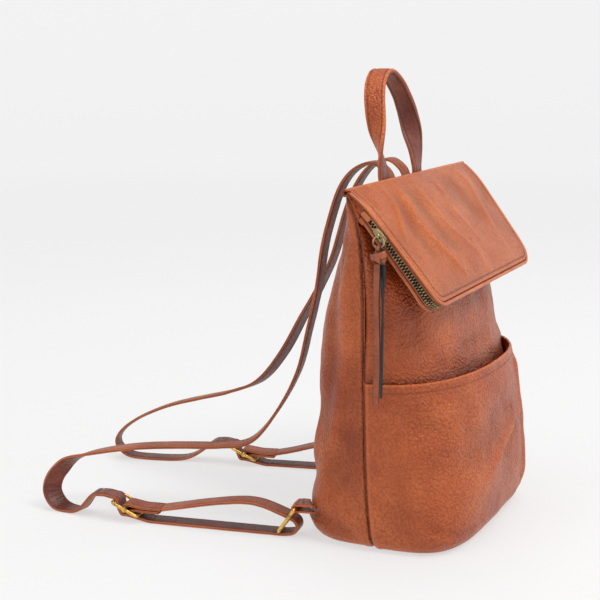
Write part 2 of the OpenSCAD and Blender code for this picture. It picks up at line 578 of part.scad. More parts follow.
// routes from the top yoke to the buckle: [x, y, z, azimuth of the width, share of the top's shift]
ROUTES = [
    [[-19, 0, 262, 0, 1], [-19, 0, 271, 0, 1], [-19, 0, 279, 0, 1], [-19, 18.5, 287, 0, 1],
        [-19, 22.5, 297, 0, 1], [-19, 34, 304, 0, 1], [-19, 50, 298, 0, 1], [-20, 62, 283, 0, 1],
        [-20, 71, 258, 1, 0.9], [-21, 77.5, 232, 2, 0.8], [-24, 82, 195, 4, 0.65], [-29, 88, 161, 6, 0.5],
        [-35, 96, 123, 9, 0.3], [-41, 114, 87, 14, 0.15], [-48, 135, 61, 19, 0.05], [-58, 161, 56, 20, 0],
        [-70, 201, 54.5, 18, 0], [-84, 238, 52, 6, 0], [-103, 275, 45, -18, 0], [-115, 290, 33, -33, 0],
        [-119.5, 295, 18, -38, 0], [-121, 288, 6, -34, 0], [-120.5, 275, 1.8, -20, 0], [-121.5, 263, 4.5, -4, 0]],
    [[19, 0, 262, 0, 1], [19, 0, 271, 0, 1], [19, 0, 279, 0, 1], [19, 18.5, 287, 0, 1],
        [19, 22.5, 297, 0, 1], [19, 34, 304, 0, 1], [19, 50, 298, 0, 1], [20, 63, 282, 0, 1],
        [21, 74, 257, 0, 0.9], [22, 86, 218, 0, 0.8], [22, 100, 188, -3, 0.65], [22, 116, 160, -7, 0.5],
        [23, 136, 125, -12, 0.3], [25, 160, 97, -12, 0.15], [26, 190, 83, -9, 0.05], [27, 220, 74, -6, 0],
        [29, 258, 62, -2, 0], [33, 294, 45, 4, 0], [38, 317, 28, 12, 0], [41, 323, 14, 16, 0],
        [44, 312, 3.6, 15, 0], [49, 290, 1.6, 12, 0], [57, 262, 2, 10, 0], [62, 247, 7, 10, 0]]];
// where the default route ends, and where the buckle really is
function strap_end(k) = far_bar(k) + [15.8, WRAP + 1.1];
module shoulder_strap(k) {
    e = strap_end(k);
    p1 = from_frame(k, 0, e.x);
    p0 = from_frame(k, 0, e.x + 6);
    base0 = [SIDES[k] * 98, 71];
    move = [SIDES[k] * RING_X, CORNER_Y] - base0;
    pts = concat(
        [for (j = [0:2]) let (r = ROUTES[k][j]) [r.x, back_y(r[2], r.x, -2 * SEAM - 1.8 - strap_t / 2 - 0.5), rise(r[2]), 0]],
        [for (j = [3:len(ROUTES[k]) - 1]) let (r = ROUTES[k][j])
            [r.x + move.x * (1 - r[4]), r.y + move.y * (1 - r[4]), max(strap_t / 2 + 0.1, r.z + (fold_h - 291) * r[4])
                + (r.z < 6 ? (strap_t - 2.6) / 2 : 0), r[3]]],
        [[p0.x, p0.y, e.y - 2, SPIN[k]], [p1.x, p1.y, e.y, SPIN[k]]]);
    color(DARK) strap_sweep(spline(pts, 2), strap_w, strap_t);
}

module left_strap() { shoulder_strap(0); }
module right_strap() { shoulder_strap(1); }
module left_strap_weave() { strap_weave(0); }
module right_strap_weave() { strap_weave(1); }
module left_strap_fold() { strap_fold(0); }
module right_strap_fold() { strap_fold(1); }
module left_strap_loop() { strap_loop(0); }
module right_strap_loop() { strap_loop(1); }
module left_buckle() { strap_buckle(0); }
module right_buckle() { strap_buckle(1); }
module left_ring() { strap_ring(0); }
module right_ring() { strap_ring(1); }
module left_strap_tab() { strap_tab(0); }
module right_strap_tab() { strap_tab(1); }

base_panel();
base_board();
front_panel();
back_panel();
body_lining();
front_pocket();
top_yoke();
handle_anchors();
flap_top_panel();
fold_cord();
flap_lining();
flap_under_panel();
flap_top_rim();
flap_under_rim();
zip_tape_upper();
zip_tape_lower();
zip_teeth_upper();
zip_teeth_lower();
zip_end_tabs();
zip_slider();
pull_ring();
pull_knot();
pull_tails();
handle_rolls();
carry_handle();
left_strap();
right_strap();
left_strap_weave();
right_strap_weave();
left_strap_fold();
right_strap_fold();
left_strap_loop();
right_strap_loop();
left_buckle();
right_buckle();
left_ring();
right_ring();
left_strap_tab();
right_strap_tab();
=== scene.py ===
import math
import bpy
import bmesh
import numpy as np
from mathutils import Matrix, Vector


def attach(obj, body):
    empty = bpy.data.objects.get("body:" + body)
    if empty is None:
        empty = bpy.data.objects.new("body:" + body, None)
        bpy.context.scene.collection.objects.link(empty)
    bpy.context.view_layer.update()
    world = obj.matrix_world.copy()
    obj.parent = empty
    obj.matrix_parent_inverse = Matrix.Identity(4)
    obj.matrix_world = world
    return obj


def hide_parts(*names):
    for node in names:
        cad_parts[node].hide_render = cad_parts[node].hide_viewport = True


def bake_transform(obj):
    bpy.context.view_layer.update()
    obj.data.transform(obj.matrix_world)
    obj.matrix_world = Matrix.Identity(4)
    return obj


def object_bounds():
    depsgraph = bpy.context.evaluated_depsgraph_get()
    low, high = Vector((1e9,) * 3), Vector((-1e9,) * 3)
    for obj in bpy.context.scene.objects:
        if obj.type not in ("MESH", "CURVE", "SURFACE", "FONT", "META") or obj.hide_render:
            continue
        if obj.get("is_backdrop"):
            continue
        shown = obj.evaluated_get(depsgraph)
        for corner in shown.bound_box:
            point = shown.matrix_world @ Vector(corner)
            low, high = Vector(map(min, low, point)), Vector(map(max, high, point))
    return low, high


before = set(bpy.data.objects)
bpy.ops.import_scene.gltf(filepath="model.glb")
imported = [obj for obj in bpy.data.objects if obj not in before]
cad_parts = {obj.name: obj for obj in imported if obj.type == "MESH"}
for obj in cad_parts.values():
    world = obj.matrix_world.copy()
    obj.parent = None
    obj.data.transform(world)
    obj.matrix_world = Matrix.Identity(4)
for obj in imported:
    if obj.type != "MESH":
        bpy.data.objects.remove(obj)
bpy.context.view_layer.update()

MM = 0.001
PI = math.pi

# ---- the part's own sizes, in millimetres ----------------------------------------------------------------

FOLD_H, HALF_W, SKIN, SEAM = 291.0, 147.0, 2.0, 0.3
POCKET_H, POCKET_GAPE = 142.0, 9.0
FLAP_L, FLAP_R = 113.0, 20.0
STRAP_W, STRAP_T, BAR_R = 17.0, 2.6, 1.5
T_A = [[0, 101], [3, 105.5], [8, 109.5], [15, 112], [40, 114], [80, 115], [120, 117], [160, 122],
       [200, 128], [240, 136], [271, 143], [281, 145.5], [291, 147]]
T_F = [[0, 61], [3, 66], [8, 70.5], [15, 75], [40, 80], [80, 79], [120, 72], [160, 58], [200, 42.5],
       [220, 32], [240, 18.5], [250, 11.5], [262, 4], [271, 0.6]]
T_B = [[0, 58], [3, 63], [8, 68], [15, 71], [32, 68], [50, 62], [80, 60], [111, 56.5], [140, 57],
       [160, 55], [200, 48], [240, 37], [262, 25], [271, 18], [281, 9], [288, 2]]
T_S = [[0, -1], [40, 2], [80, 4], [139, 4], [200, 0], [240, -1], [262, 0], [271, 1], [281, 5], [288, 8]]
T_NF = [[0, 4.2], [40, 3.2], [140, 2.6], [240, 2.2], [291, 2]]
T_NB = [[0, 4.2], [20, 4], [40, 3.4], [200, 3.4], [262, 3], [291, 3]]


def step01(t):
    t = np.clip(t, 0, 1)
    return t * t * (3 - 2 * t)


def bell(x, at, width):
    """1 where x is at the given value, and down to nothing on both sides of it."""
    return np.exp(-((x - at) / width) ** 2)


def circle(count):
    """Angles at even steps once round."""
    return np.linspace(0, 2 * PI, count, endpoint=False)


def signed_power(v, e):
    return np.sign(v) * np.abs(v) ** e


def flat_points(A, Z):
    return np.stack([A, Z, 0 * A], axis=-1)


def table(T, width=7.0, low=12.0, high=262.0):
    """A size table as a smooth curve: its corners are rounded, its ends are kept."""
    xs = np.arange(-40, 331, 1.0)
    a, b = np.array(T, float).T
    ys = np.interp(xs, a, b)
    ys = np.where(xs < a[0], b[0] + (xs - a[0]) * (b[1] - b[0]) / (a[1] - a[0]), ys)
    ys = np.where(xs > a[-1], b[-1] + (xs - a[-1]) * (b[-1] - b[-2]) / (a[-1] - a[-2]), ys)
    k = np.exp(-0.5 * (np.arange(-25, 26) / width) ** 2)
    soft = np.convolve(np.pad(ys, 25, mode="edge"), k / k.sum(), mode="valid")
    w = step01((xs - low) / 16) * step01((high - xs) / 14)
    ys = ys * (1 - w) + soft * w
    return lambda n: np.interp(n, xs, ys)


F_A, F_F, F_B, F_S = table(T_A), table(T_F), table(T_B), table(T_S)
F_NF, F_NB = table(T_NF), table(T_NB)


def lattice(ix, iy, iz, seed):
    h = (ix * 374761393 + iy * 668265263 + iz * 1440662683 + seed * 974634777) & 0xFFFFFFFF
    h = ((h ^ (h >> 13)) * 1274126177) & 0xFFFFFFFF
    return ((h ^ (h >> 16)) & 0xFFFFFF) / float(0xFFFFFF) * 2 - 1


def noise(P, size, seed=0):
    """Smooth noise from -1 to 1 at points P, with features of about that size."""
    q = np.asarray(P, float) / size
    i = np.floor(q).astype(np.int64)
    f = q - i
    f = f * f * f * (f * (f * 6 - 15) + 10)
    total = 0
    for dx in (0, 1):
        for dy in (0, 1):
            for dz in (0, 1):
                w = (f[..., 0] if dx else 1 - f[..., 0]) * (f[..., 1] if dy else 1 - f[..., 1]) \
                    * (f[..., 2] if dz else 1 - f[..., 2])
                total = total + w * lattice(i[..., 0] + dx, i[..., 1] + dy, i[..., 2] + dz, seed)
    return total


def unit(v):
    v = np.asarray(v, float)
    return v / np.maximum(np.linalg.norm(v, axis=-1, keepdims=True), 1e-12)


def grid_normals(G):
    """Unit normals of a grid of points: along the rows crossed with along the columns."""
    return unit(np.cross(np.gradient(G, axis=1), np.gradient(G, axis=0)))


def spline(P, m):
    P = np.asarray(P, float)
    out = []
    n = len(P)
    for i in range(n - 1):
        a, b, c, d = P[max(0, i - 1)], P[i], P[i + 1], P[min(n - 1, i + 2)]
        for k in range(m):
            t = k / m
            out.append(0.5 * (2 * b + (c - a) * t + (2 * a - 5 * b + 4 * c - d) * t * t
                              + (3 * b - a - 3 * c + d) * t ** 3))
    out.append(P[-1])
    return np.array(out)


def resample(P, step):
    """Points along a polyline at an even step; extra columns come along."""
    P = np.asarray(P, float)
    s = np.concatenate([[0], np.cumsum(np.linalg.norm(np.diff(P[:, :3], axis=0), axis=1))])
    n = max(2, int(round(s[-1] / step)) + 1)
    t = np.linspace(0, s[-1], n)
    return np.stack([np.interp(t, s, P[:, k]) for k in range(P.shape[1])], axis=1)


def softened(P, rounds):
    """Rounds off a polyline's corners a little; its ends stay."""
    P = np.array(P, float)
    for _ in range(rounds):
        P[1:-1] = 0.25 * P[:-2] + 0.5 * P[1:-1] + 0.25 * P[2:]
    return P


def arc2(c, r, a, b, n):
    t = np.radians(np.linspace(a, b, n + 1))
    return np.array(c, float) + r * np.stack([np.cos(t), np.sin(t)], axis=1)


# ---- materials -------------------------------------------------------------------------------------------

class Nodes:
    """A short hand for building one node material."""

    def __init__(self, name):
        self.mat = bpy.data.materials.new(name)
        self.mat.use_nodes = True
        self.tree = self.mat.node_tree
        self.tree.nodes.clear()
        self.out = self.add("ShaderNodeOutputMaterial")
        self.bsdf = self.add("ShaderNodeBsdfPrincipled")
        self.link(self.bsdf.outputs[0], self.out.inputs["Surface"])

    def add(self, kind, **values):
        n = self.tree.nodes.new(kind)
        for k, v in values.items():
            setattr(n, k, v)
        return n

    def link(self, a, b):
        self.tree.links.new(a, b)

    def put(self, node, **sockets):
        for k, v in sockets.items():
            s = node.inputs[k.replace("_", " ")]
            if hasattr(v, "is_linked"):
                self.link(v, s)
            else:
                s.default_value = v
        return node

    def coords(self, scale=(1, 1, 1), turn=(0, 0, 0)):
        c = self.add("ShaderNodeTexCoord")
        m = self.add("ShaderNodeMapping")
        m.inputs["Scale"].default_value = scale
        m.inputs["Rotation"].default_value = turn
        self.link(c.outputs["Object"], m.inputs["Vector"])
        return m.outputs[0]

    def noise(self, vec, scale, detail=3.0, rough=0.55, warp=0.0):
        n = self.add("ShaderNodeTexNoise")
        self.put(n, Vector=vec, Scale=scale, Detail=detail, Roughness=rough, Distortion=warp)
        return n.outputs["Fac"]

    def cells(self, vec, scale, smooth=0.35, random=0.95):
        n = self.add("ShaderNodeTexVoronoi", feature="SMOOTH_F1")
        self.put(n, Vector=vec, Scale=scale, Smoothness=smooth, Randomness=random)
        return n.outputs["Distance"]

    def ramp(self, fac, stops):
        n = self.add("ShaderNodeValToRGB")
        e = n.color_ramp.elements
        while len(e) < len(stops):
            e.new(0.5)
        for item, (pos, col) in zip(e, stops):
            item.position = pos
            item.color = col if len(col) == 4 else (*col, 1)
        self.link(fac, n.inputs[0])
        return n.outputs[0]

    def mix(self, fac, a, b, kind="MIX"):
        n = self.add("ShaderNodeMix", data_type="RGBA", blend_type=kind)
        n.clamp_result = True
        for sock, v in ((n.inputs[0], fac), (n.inputs[6], a), (n.inputs[7], b)):
            if hasattr(v, "is_linked"):
                self.link(v, sock)
            elif isinstance(v, (int, float)):
                sock.default_value = v
            else:
                sock.default_value = (*v, 1) if len(v) == 3 else v
        return n.outputs[2]

    def math(self, kind, a, b=0.5, clamp=False):
        n = self.add("ShaderNodeMath", operation=kind)
        n.use_clamp = clamp
        for k, v in enumerate((a, b)):
            if hasattr(v, "is_linked"):
                self.link(v, n.inputs[k])
            else:
                n.inputs[k].default_value = v
        return n.outputs[0]

    def attribute(self, name):
        n = self.add("ShaderNodeAttribute", attribute_name=name)
        return n.outputs["Fac"]

    def bump(self, height, distance, strength=1.0, after=None):
        n = self.add("ShaderNodeBump")
        n.inputs["Distance"].default_value = distance
        n.inputs["Strength"].default_value = strength
        self.link(height, n.inputs["Height"])
        if after is not None:
            self.link(after, n.inputs["Normal"])
        return n.outputs[0]


def leather(name, base, dark, light, grain=620.0, depth=0.00022, rough=0.46, spread=1.0, streak=0.5,
        coat=0.05):
    """Pebbled leather: cells of grain with fine pores, drawn-out wrinkles, blotches of colour, worn edges
    lightened by the wear value, which also paints highlights on ridges and rims and paints shade into folds,
    grooves and seams."""
    m = Nodes(name)
    here = m.coords()
    warped = m.add("ShaderNodeVectorMath", operation="ADD")
    wob = m.add("ShaderNodeTexNoise")
    m.put(wob, Vector=here, Scale=90.0, Detail=2.0)
    small = m.add("ShaderNodeVectorMath", operation="SCALE")
    m.link(wob.outputs["Color"], small.inputs[0])
    small.inputs["Scale"].default_value = 0.0035
    m.link(here, warped.inputs[0])
    m.link(small.outputs[0], warped.inputs[1])
    pebble = m.cells(warped.outputs[0], grain)
    fine = m.cells(warped.outputs[0], grain * 2.3, 0.2)
    lines = m.coords((1.0, 1.0, 0.34), (0.35, 0.5, 0.3))
    wrinkle = m.noise(lines, 420.0, 3.0, 0.6, 0.6)
    blotch = m.noise(here, 22.0 * spread, 4.0, 0.6)
    patch = m.noise(here, 7.0, 2.0)
    wear_and_painted_light = m.attribute("wear_and_painted_light")
    col = m.ramp(blotch, [(0.34, dark), (0.5, base), (0.68, light)])
    col = m.mix(m.ramp(patch, [(0.35, (0, 0, 0)), (0.7, (0.35, 0.35, 0.35))]), col,
        tuple(0.86 * c for c in base))
    col = m.mix(m.ramp(pebble, [(0.34, (0, 0, 0)), (0.72, (0.42, 0.42, 0.42))]), col,
        tuple(0.62 * c for c in dark))
    # the wear value: high values lighten for worn edges and painted highlights on ridges and rims; low values
    # darken as painted shade in folds, grooves and seams
    col = m.mix(m.ramp(wear_and_painted_light, [(0.5, (0, 0, 0)), (0.92, (0.85, 0.85, 0.85))]), col,
        tuple(min(1, 1.25 * c) for c in light))
    col = m.mix(m.ramp(wear_and_painted_light, [(0.02, (0.92, 0.92, 0.92)), (0.5, (0, 0, 0))]), col,
        tuple(0.28 * c for c in dark))
    height = m.math("SUBTRACT", 1.0, pebble)
    height = m.math("ADD", height, m.math("MULTIPLY", fine, -0.28))
    height = m.math("ADD", height, m.math("MULTIPLY", wrinkle, streak))
    ridge = m.math("ABSOLUTE", m.math("SUBTRACT", m.noise(lines, 150.0, 2.0, 0.5, 0.9), 0.5))
    swell = m.math("ADD", m.noise(here, 95.0, 2.0), m.math("MULTIPLY", ridge, 1.1))
    low = m.bump(swell, 0.0011 if depth > 0.0004 else 0.0006, 0.6)
    m.put(m.bsdf, Base_Color=col, Normal=m.bump(height, depth, 1.0, low))
    r = m.math("ADD", m.math("MULTIPLY", m.noise(here, 160.0, 3.0), 0.22), rough - 0.11)
    r = m.math("ADD", r, m.math("MULTIPLY", pebble, 0.10))
    m.put(m.bsdf, Roughness=r)
    m.bsdf.inputs["Specular IOR Level"].default_value = 0.36
    m.bsdf.inputs["Coat Weight"].default_value = coat
    m.bsdf.inputs["Coat Roughness"].default_value = 0.34
    return m.mat


def brass(name, bright, dull, rough=0.27):
    """Antiqued brass: polished high spots, brown tarnish in the hollows, fine scratches."""
    m = Nodes(name)
    here = m.coords()
    tarnish = m.noise(here, 190.0, 5.0, 0.65)
    spots = m.noise(here, 900.0, 3.0)
    scratch = m.noise(m.coords((1, 1, 0.06), (0.5, 0.2, 0.9)), 2600.0, 2.0)
    col = m.ramp(tarnish, [(0.30, dull), (0.52, bright), (0.8, tuple(min(1, 1.15 * c) for c in bright))])
    col = m.mix(m.ramp(spots, [(0.58, (0, 0, 0)), (0.75, (0.6, 0.6, 0.6))]), col,
        tuple(0.5 * c for c in dull))
    r = m.math("ADD", m.math("MULTIPLY", tarnish, -0.24), rough + 0.16)
    r = m.math("ADD", r, m.math("MULTIPLY", spots, 0.10), True)
    m.put(m.bsdf, Base_Color=col, Roughness=r, Normal=m.bump(m.math("ADD", scratch, spots), 0.00003, 0.5))
    m.bsdf.inputs["Metallic"].default_value = 1.0
    return m.mat


def woven(name, base, dark, pitch=0.55, bump=0.00012):
    """Plain weave: two crossed waves of thread, with slubs and dust."""
    m = Nodes(name)
    here = m.coords()
    waves = []
    for turn in ((0, 0, 0.78), (0, 0, -0.78)):
        w = m.add("ShaderNodeTexWave", wave_type="BANDS", bands_direction="DIAGONAL")
        m.put(w, Vector=m.coords((1, 1, 1), turn), Scale=1000 / pitch / 6.3, Distortion=1.1, Detail=1.5)
        waves.append(w.outputs["Fac"])
    weave = m.math("MULTIPLY", waves[0], waves[1])
    slub = m.noise(here, 120.0, 3.0)
    col = m.ramp(weave, [(0.0, dark), (0.6, base)])
    col = m.mix(m.ramp(slub, [(0.4, (0, 0, 0)), (0.8, (0.5, 0.5, 0.5))]), col, tuple(0.7 * c for c in base))
    m.put(m.bsdf, Base_Color=col, Roughness=m.math("ADD", m.math("MULTIPLY", slub, 0.2), 0.7),
          Normal=m.bump(weave, bump, 0.9))
    m.bsdf.inputs["Sheen Weight"].default_value = 0.25
    return m.mat


def plain_board(name, base, dark):
    m = Nodes(name)
    here = m.coords()
    fibre = m.noise(m.coords((1, 0.1, 1)), 500.0, 4.0)
    m.put(m.bsdf, Base_Color=m.ramp(fibre, [(0.35, dark), (0.65, base)]),
          Roughness=m.math("ADD", m.math("MULTIPLY", m.noise(here, 60.0), 0.2), 0.6),
          Normal=m.bump(fibre, 0.0001, 0.6))
    return m.mat


# name, base, dark and light colours, then grain, depth, roughness, spread, streak and coat
TAN = leather("tan_leather", (0.445, 0.088, 0.018), (0.345, 0.058, 0.011), (0.55, 0.130, 0.032),
              430.0, 0.00130, 0.31)
FLAP_TAN = leather("flap_leather", (0.44, 0.098, 0.020), (0.36, 0.070, 0.013), (0.54, 0.146, 0.038),
                   560.0, 0.00060, 0.31, 1.0, 0.5, 0.06)
STRAP_TAN = leather("strap_leather", (0.34, 0.078, 0.025), (0.24, 0.050, 0.016), (0.45, 0.125, 0.045),
                    640.0, 0.00024, 0.40, 1.6, 0.6, 0.10)
# the straps' inner faces and the handle's underside: a duller leather, darker and more purple as painted shade
STRAP_INNER_PAINTED_SHADE = leather("strap_inner_painted_shade_leather", (0.185, 0.045, 0.026), (0.115, 0.026, 0.016),
                      (0.27, 0.085, 0.055), 620.0, 0.00026, 0.38, 1.6, 1.0, 0.10)
EDGE_TAN = leather("edge_leather", (0.38, 0.085, 0.024), (0.26, 0.052, 0.014), (0.52, 0.155, 0.055),
                   900.0, 0.00012, 0.38, 2.0, 0.4, 0.12)
BLACK_EDGE = leather("painted_edge", (0.018, 0.018, 0.020), (0.010, 0.010, 0.011), (0.045, 0.045, 0.05),
                     900.0, 0.00006, 0.40, 2.0, 0.3, 0.08)
THREAD = leather("waxed_thread", (0.27, 0.065, 0.022), (0.18, 0.042, 0.014), (0.38, 0.11, 0.04),
                 2600.0, 0.00008, 0.5, 3.0, 1.0)
BRASS = brass("antique_brass", (0.80, 0.50, 0.13), (0.16, 0.085, 0.025))
ZIP_BRASS = brass("zip_brass", (0.44, 0.34, 0.18), (0.07, 0.048, 0.026), 0.30)
TAPE = woven("zip_tape_weave", (0.060, 0.030, 0.020), (0.014, 0.008, 0.006), 0.5)
LINING = woven("lining_weave", (0.21, 0.145, 0.10), (0.09, 0.06, 0.04), 0.7)
BOARD = plain_board("stiffener_board", (0.10, 0.07, 0.055), (0.05, 0.035, 0.03))


# ---- mesh making -----------------------------------------------------------------------------------------

def piece(name, V, F, mats, body=None, stands_for=(), wear_and_painted_light=None, index=None, flip=True,
        smooth=True):
    """One mesh object from points in millimetres. The wear value runs from -1, painted shade in a fold, groove
    or seam, to +1, which lightens worn edges and paints highlights on ridges.
    """
    me = bpy.data.meshes.new(name)
    V = np.asarray(V, float).reshape(-1, 3)
    me.from_pydata((V * MM).tolist(), [], [tuple(int(i) for i in f) for f in F])
    mats = mats if isinstance(mats, (list, tuple)) else [mats]
    for m in mats:
        me.materials.append(m)
    if index is not None:
        me.polygons.foreach_set("material_index", np.asarray(index, np.int32))
    at = me.attributes.new("wear_and_painted_light", "FLOAT", "POINT")
    w = np.zeros(len(V)) if wear_and_painted_light is None else np.clip(np.asarray(wear_and_painted_light, float).ravel(), -1, 1)
    at.data.foreach_set("value", (0.5 + 0.5 * w).astype(np.float32))
    if smooth:
        me.polygons.foreach_set("use_smooth", np.ones(len(me.polygons), bool))
    if flip:
        bm = bmesh.new()
        bm.from_mesh(me)
        bmesh.ops.recalc_face_normals(bm, faces=bm.faces)
        bm.to_mesh(me)
        bm.free()
    me.update()
    ob = bpy.data.objects.new(name, me)
    bpy.context.scene.collection.objects.link(ob)
    if stands_for:
        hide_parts(*stands_for)
    if body:
        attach(ob, body)
    return ob


def quads(r, c, wrap=False, start=0):
    i, j = np.meshgrid(np.arange(r - 1), np.arange(c if wrap else c - 1), indexing="ij")
    k = (j + 1) % c
    return np.stack([i * c + j, i * c + k, (i + 1) * c + k, (i + 1) * c + j], axis=-1).reshape(-1, 4) + start


def shell(O, I, wear_and_painted_light=None, edge_wear_and_painted_light=0.35, turns=4):
    """Points and faces of a sheet between an outer and an inner grid, with a rounded edge all round."""
    r, c = O.shape[:2]
    V = [O.reshape(-1, 3), I.reshape(-1, 3)]
    m = r * c
    F = [quads(r, c), quads(r, c, start=m)[:, ::-1]]
    border = [(0, j) for j in range(c - 1)] + [(i, c - 1) for i in range(r - 1)] \
        + [(r - 1, j) for j in range(c - 1, 0, -1)] + [(i, 0) for i in range(r - 1, 0, -1)]
    b = np.array(border)
    inn = np.stack([np.clip(b[:, 0], 1, r - 2), np.clip(b[:, 1], 1, c - 2)], axis=1)
    Po, Pi = O[b[:, 0], b[:, 1]], I[b[:, 0], b[:, 1]]
    half = (Po - Pi) / 2
    out = Po - O[inn[:, 0], inn[:, 1]]
    hn = unit(half)
    out = unit(out - (out * hn).sum(1, keepdims=True) * hn)
    reach = np.linalg.norm(half, axis=1, keepdims=True) * 0.8
    loops = [b[:, 0] * c + b[:, 1]]
    at = 2 * m
    for t in range(1, turns):
        a = PI * t / turns
        V.append((Po + Pi) / 2 + half * math.cos(a) + out * reach * math.sin(a))
        loops.append(at + np.arange(len(b)))
        at += len(b)
    loops.append(m + b[:, 0] * c + b[:, 1])
    for p, q in zip(loops[:-1], loops[1:]):
        F.append(np.stack([p, q, np.roll(q, -1), np.roll(p, -1)], axis=1))
    w0 = np.zeros((r, c)) if wear_and_painted_light is None else wear_and_painted_light
    # the rounded edge gets one value: above 0 it is a lighter worn edge, below 0 painted shade where the edge
    # turns under
    W = np.concatenate([w0.ravel(), w0.ravel() * 0.5, np.full(at - 2 * m, edge_wear_and_painted_light)])
    return np.concatenate(V), np.concatenate(F), W


def tube(G, caps=True, loop=False, start=0):
    """Points and faces of a ring grid: each row is one closed section."""
    n, m = G.shape[:2]
    V = [G.reshape(-1, 3)]
    F = [f for f in quads(n, m, wrap=True, start=start)]
    if loop:
        for j in range(m):
            k = (j + 1) % m
            F.append(np.array([(n - 1) * m + j, (n - 1) * m + k, k, j]) + start)
    elif caps:
        V.append(np.stack([G[0].mean(0), G[-1].mean(0)]))
        for j in range(m):
            k = (j + 1) % m
            F.append(np.array([n * m, j, k]) + start)
            F.append(np.array([n * m + 1, (n - 1) * m + k, (n - 1) * m + j]) + start)
    return np.concatenate(V), F


def frames(P, A):
    """Along, across and out directions at each point of a path; A says where across should point."""
    D = unit(np.gradient(P, axis=0))
    A = np.broadcast_to(np.asarray(A, float), P.shape)
    A = unit(A - (A * D).sum(1, keepdims=True) * D)
    return D, A, np.cross(D, A)


def sweep(P, A, S, closed=False):
    """A grid of section points S, as [across, out] pairs, at each point of a path."""
    if closed:
        D = unit(np.roll(P, -1, axis=0) - np.roll(P, 1, axis=0))
        A = np.broadcast_to(np.asarray(A, float), P.shape)
        A = unit(A - (A * D).sum(1, keepdims=True) * D)
        O = np.cross(D, A)
    else:
        D, A, O = frames(P, A)
    S = np.broadcast_to(S, (len(P),) + np.shape(S)[-2:])
    return P[:, None] + A[:, None] * S[..., :1] + O[:, None] * S[..., 1:2]


def round_section(r, m=12):
    t = circle(m)
    return np.stack([r * np.cos(t), r * np.sin(t)], axis=1)


def gather(parts):
    """Joins several (points, faces, wear) into one."""
    V, F, W, at = [], [], [], 0
    for v, f, w in parts:
        V.append(v)
        F += [np.asarray(x) + at for x in f]
        W.append(np.broadcast_to(np.asarray(w, float), (len(v),)))
        at += len(v)
    return np.concatenate(V), F, np.concatenate(W)


def stitch_line(P, N, pitch=3.3, length=2.3, width=0.62, height=0.3, start=1.5, end=1.5):
    """Thread stitches laid along a line P of points whose surface normals are N."""
    s = np.concatenate([[0], np.cumsum(np.linalg.norm(np.diff(P, axis=0), axis=1))])
    if s[-1] < start + end + pitch:
        return np.zeros((0, 3)), [], 0
    at = np.arange(start, s[-1] - end, pitch)

    def on(q, X):
        return np.stack([np.interp(q, s, X[:, k]) for k in range(3)], axis=1)
    C = on(at, P)
    D = unit(on(np.minimum(at + 1, s[-1]), P) - on(np.maximum(at - 1, 0), P))
    Nn = unit(on(at, N))
    Nn = unit(Nn - (Nn * D).sum(1, keepdims=True) * D)
    B = np.cross(Nn, D)
    T = [[-length / 2, 0, -0.1]]
    for x, k in ((-0.42, 0.62), (-0.18, 1.0), (0.18, 1.0), (0.42, 0.62)):
        for a in circle(6):
            T.append([x * length, math.cos(a) * width / 2 * k, math.sin(a) * height * k + 0.02])
    T.append([length / 2, 0, -0.1])
    T = np.array(T)
    F = [[0, 1 + j, 1 + (j + 1) % 6] for j in range(6)]
    for r in range(3):
        F += [[1 + r * 6 + j, 7 + r * 6 + j, 7 + r * 6 + (j + 1) % 6,
               1 + r * 6 + (j + 1) % 6] for j in range(6)]
    F += [[25, 19 + (j + 1) % 6, 19 + j] for j in range(6)]
    V = C[:, None] + D[:, None] * T[None, :, :1] + B[:, None] * T[None, :, 1:2] + Nn[:, None] * T[None, :, 2:]
    faces = [np.array(f) + k * len(T) for k in range(len(at)) for f in F]
    return V.reshape(-1, 3), faces, 0


def stitching(name, lines, body):
    """One piece of thread from several stitch lines."""
    v, f, w = gather([l for l in lines if len(l[0])])
    return piece(name, v, f, THREAD, body, (), w, flip=False)


# ---- camera, stage and lights ----------------------------------------------------------------------------

cam = bpy.data.objects.new("camera", bpy.data.cameras.new("camera"))
bpy.context.scene.collection.objects.link(cam)
cam.data.lens, cam.data.sensor_width = 85.0, 36.0
cam.data.clip_start, cam.data.clip_end = 0.05, 30
cam.location = (-1.1270, -0.3847, 0.3971)
aim = Vector((0.0, 0.110, 0.179)) - cam.location
cam.rotation_euler = aim.to_track_quat("-Z", "Y").to_euler()
bpy.context.scene.camera = cam


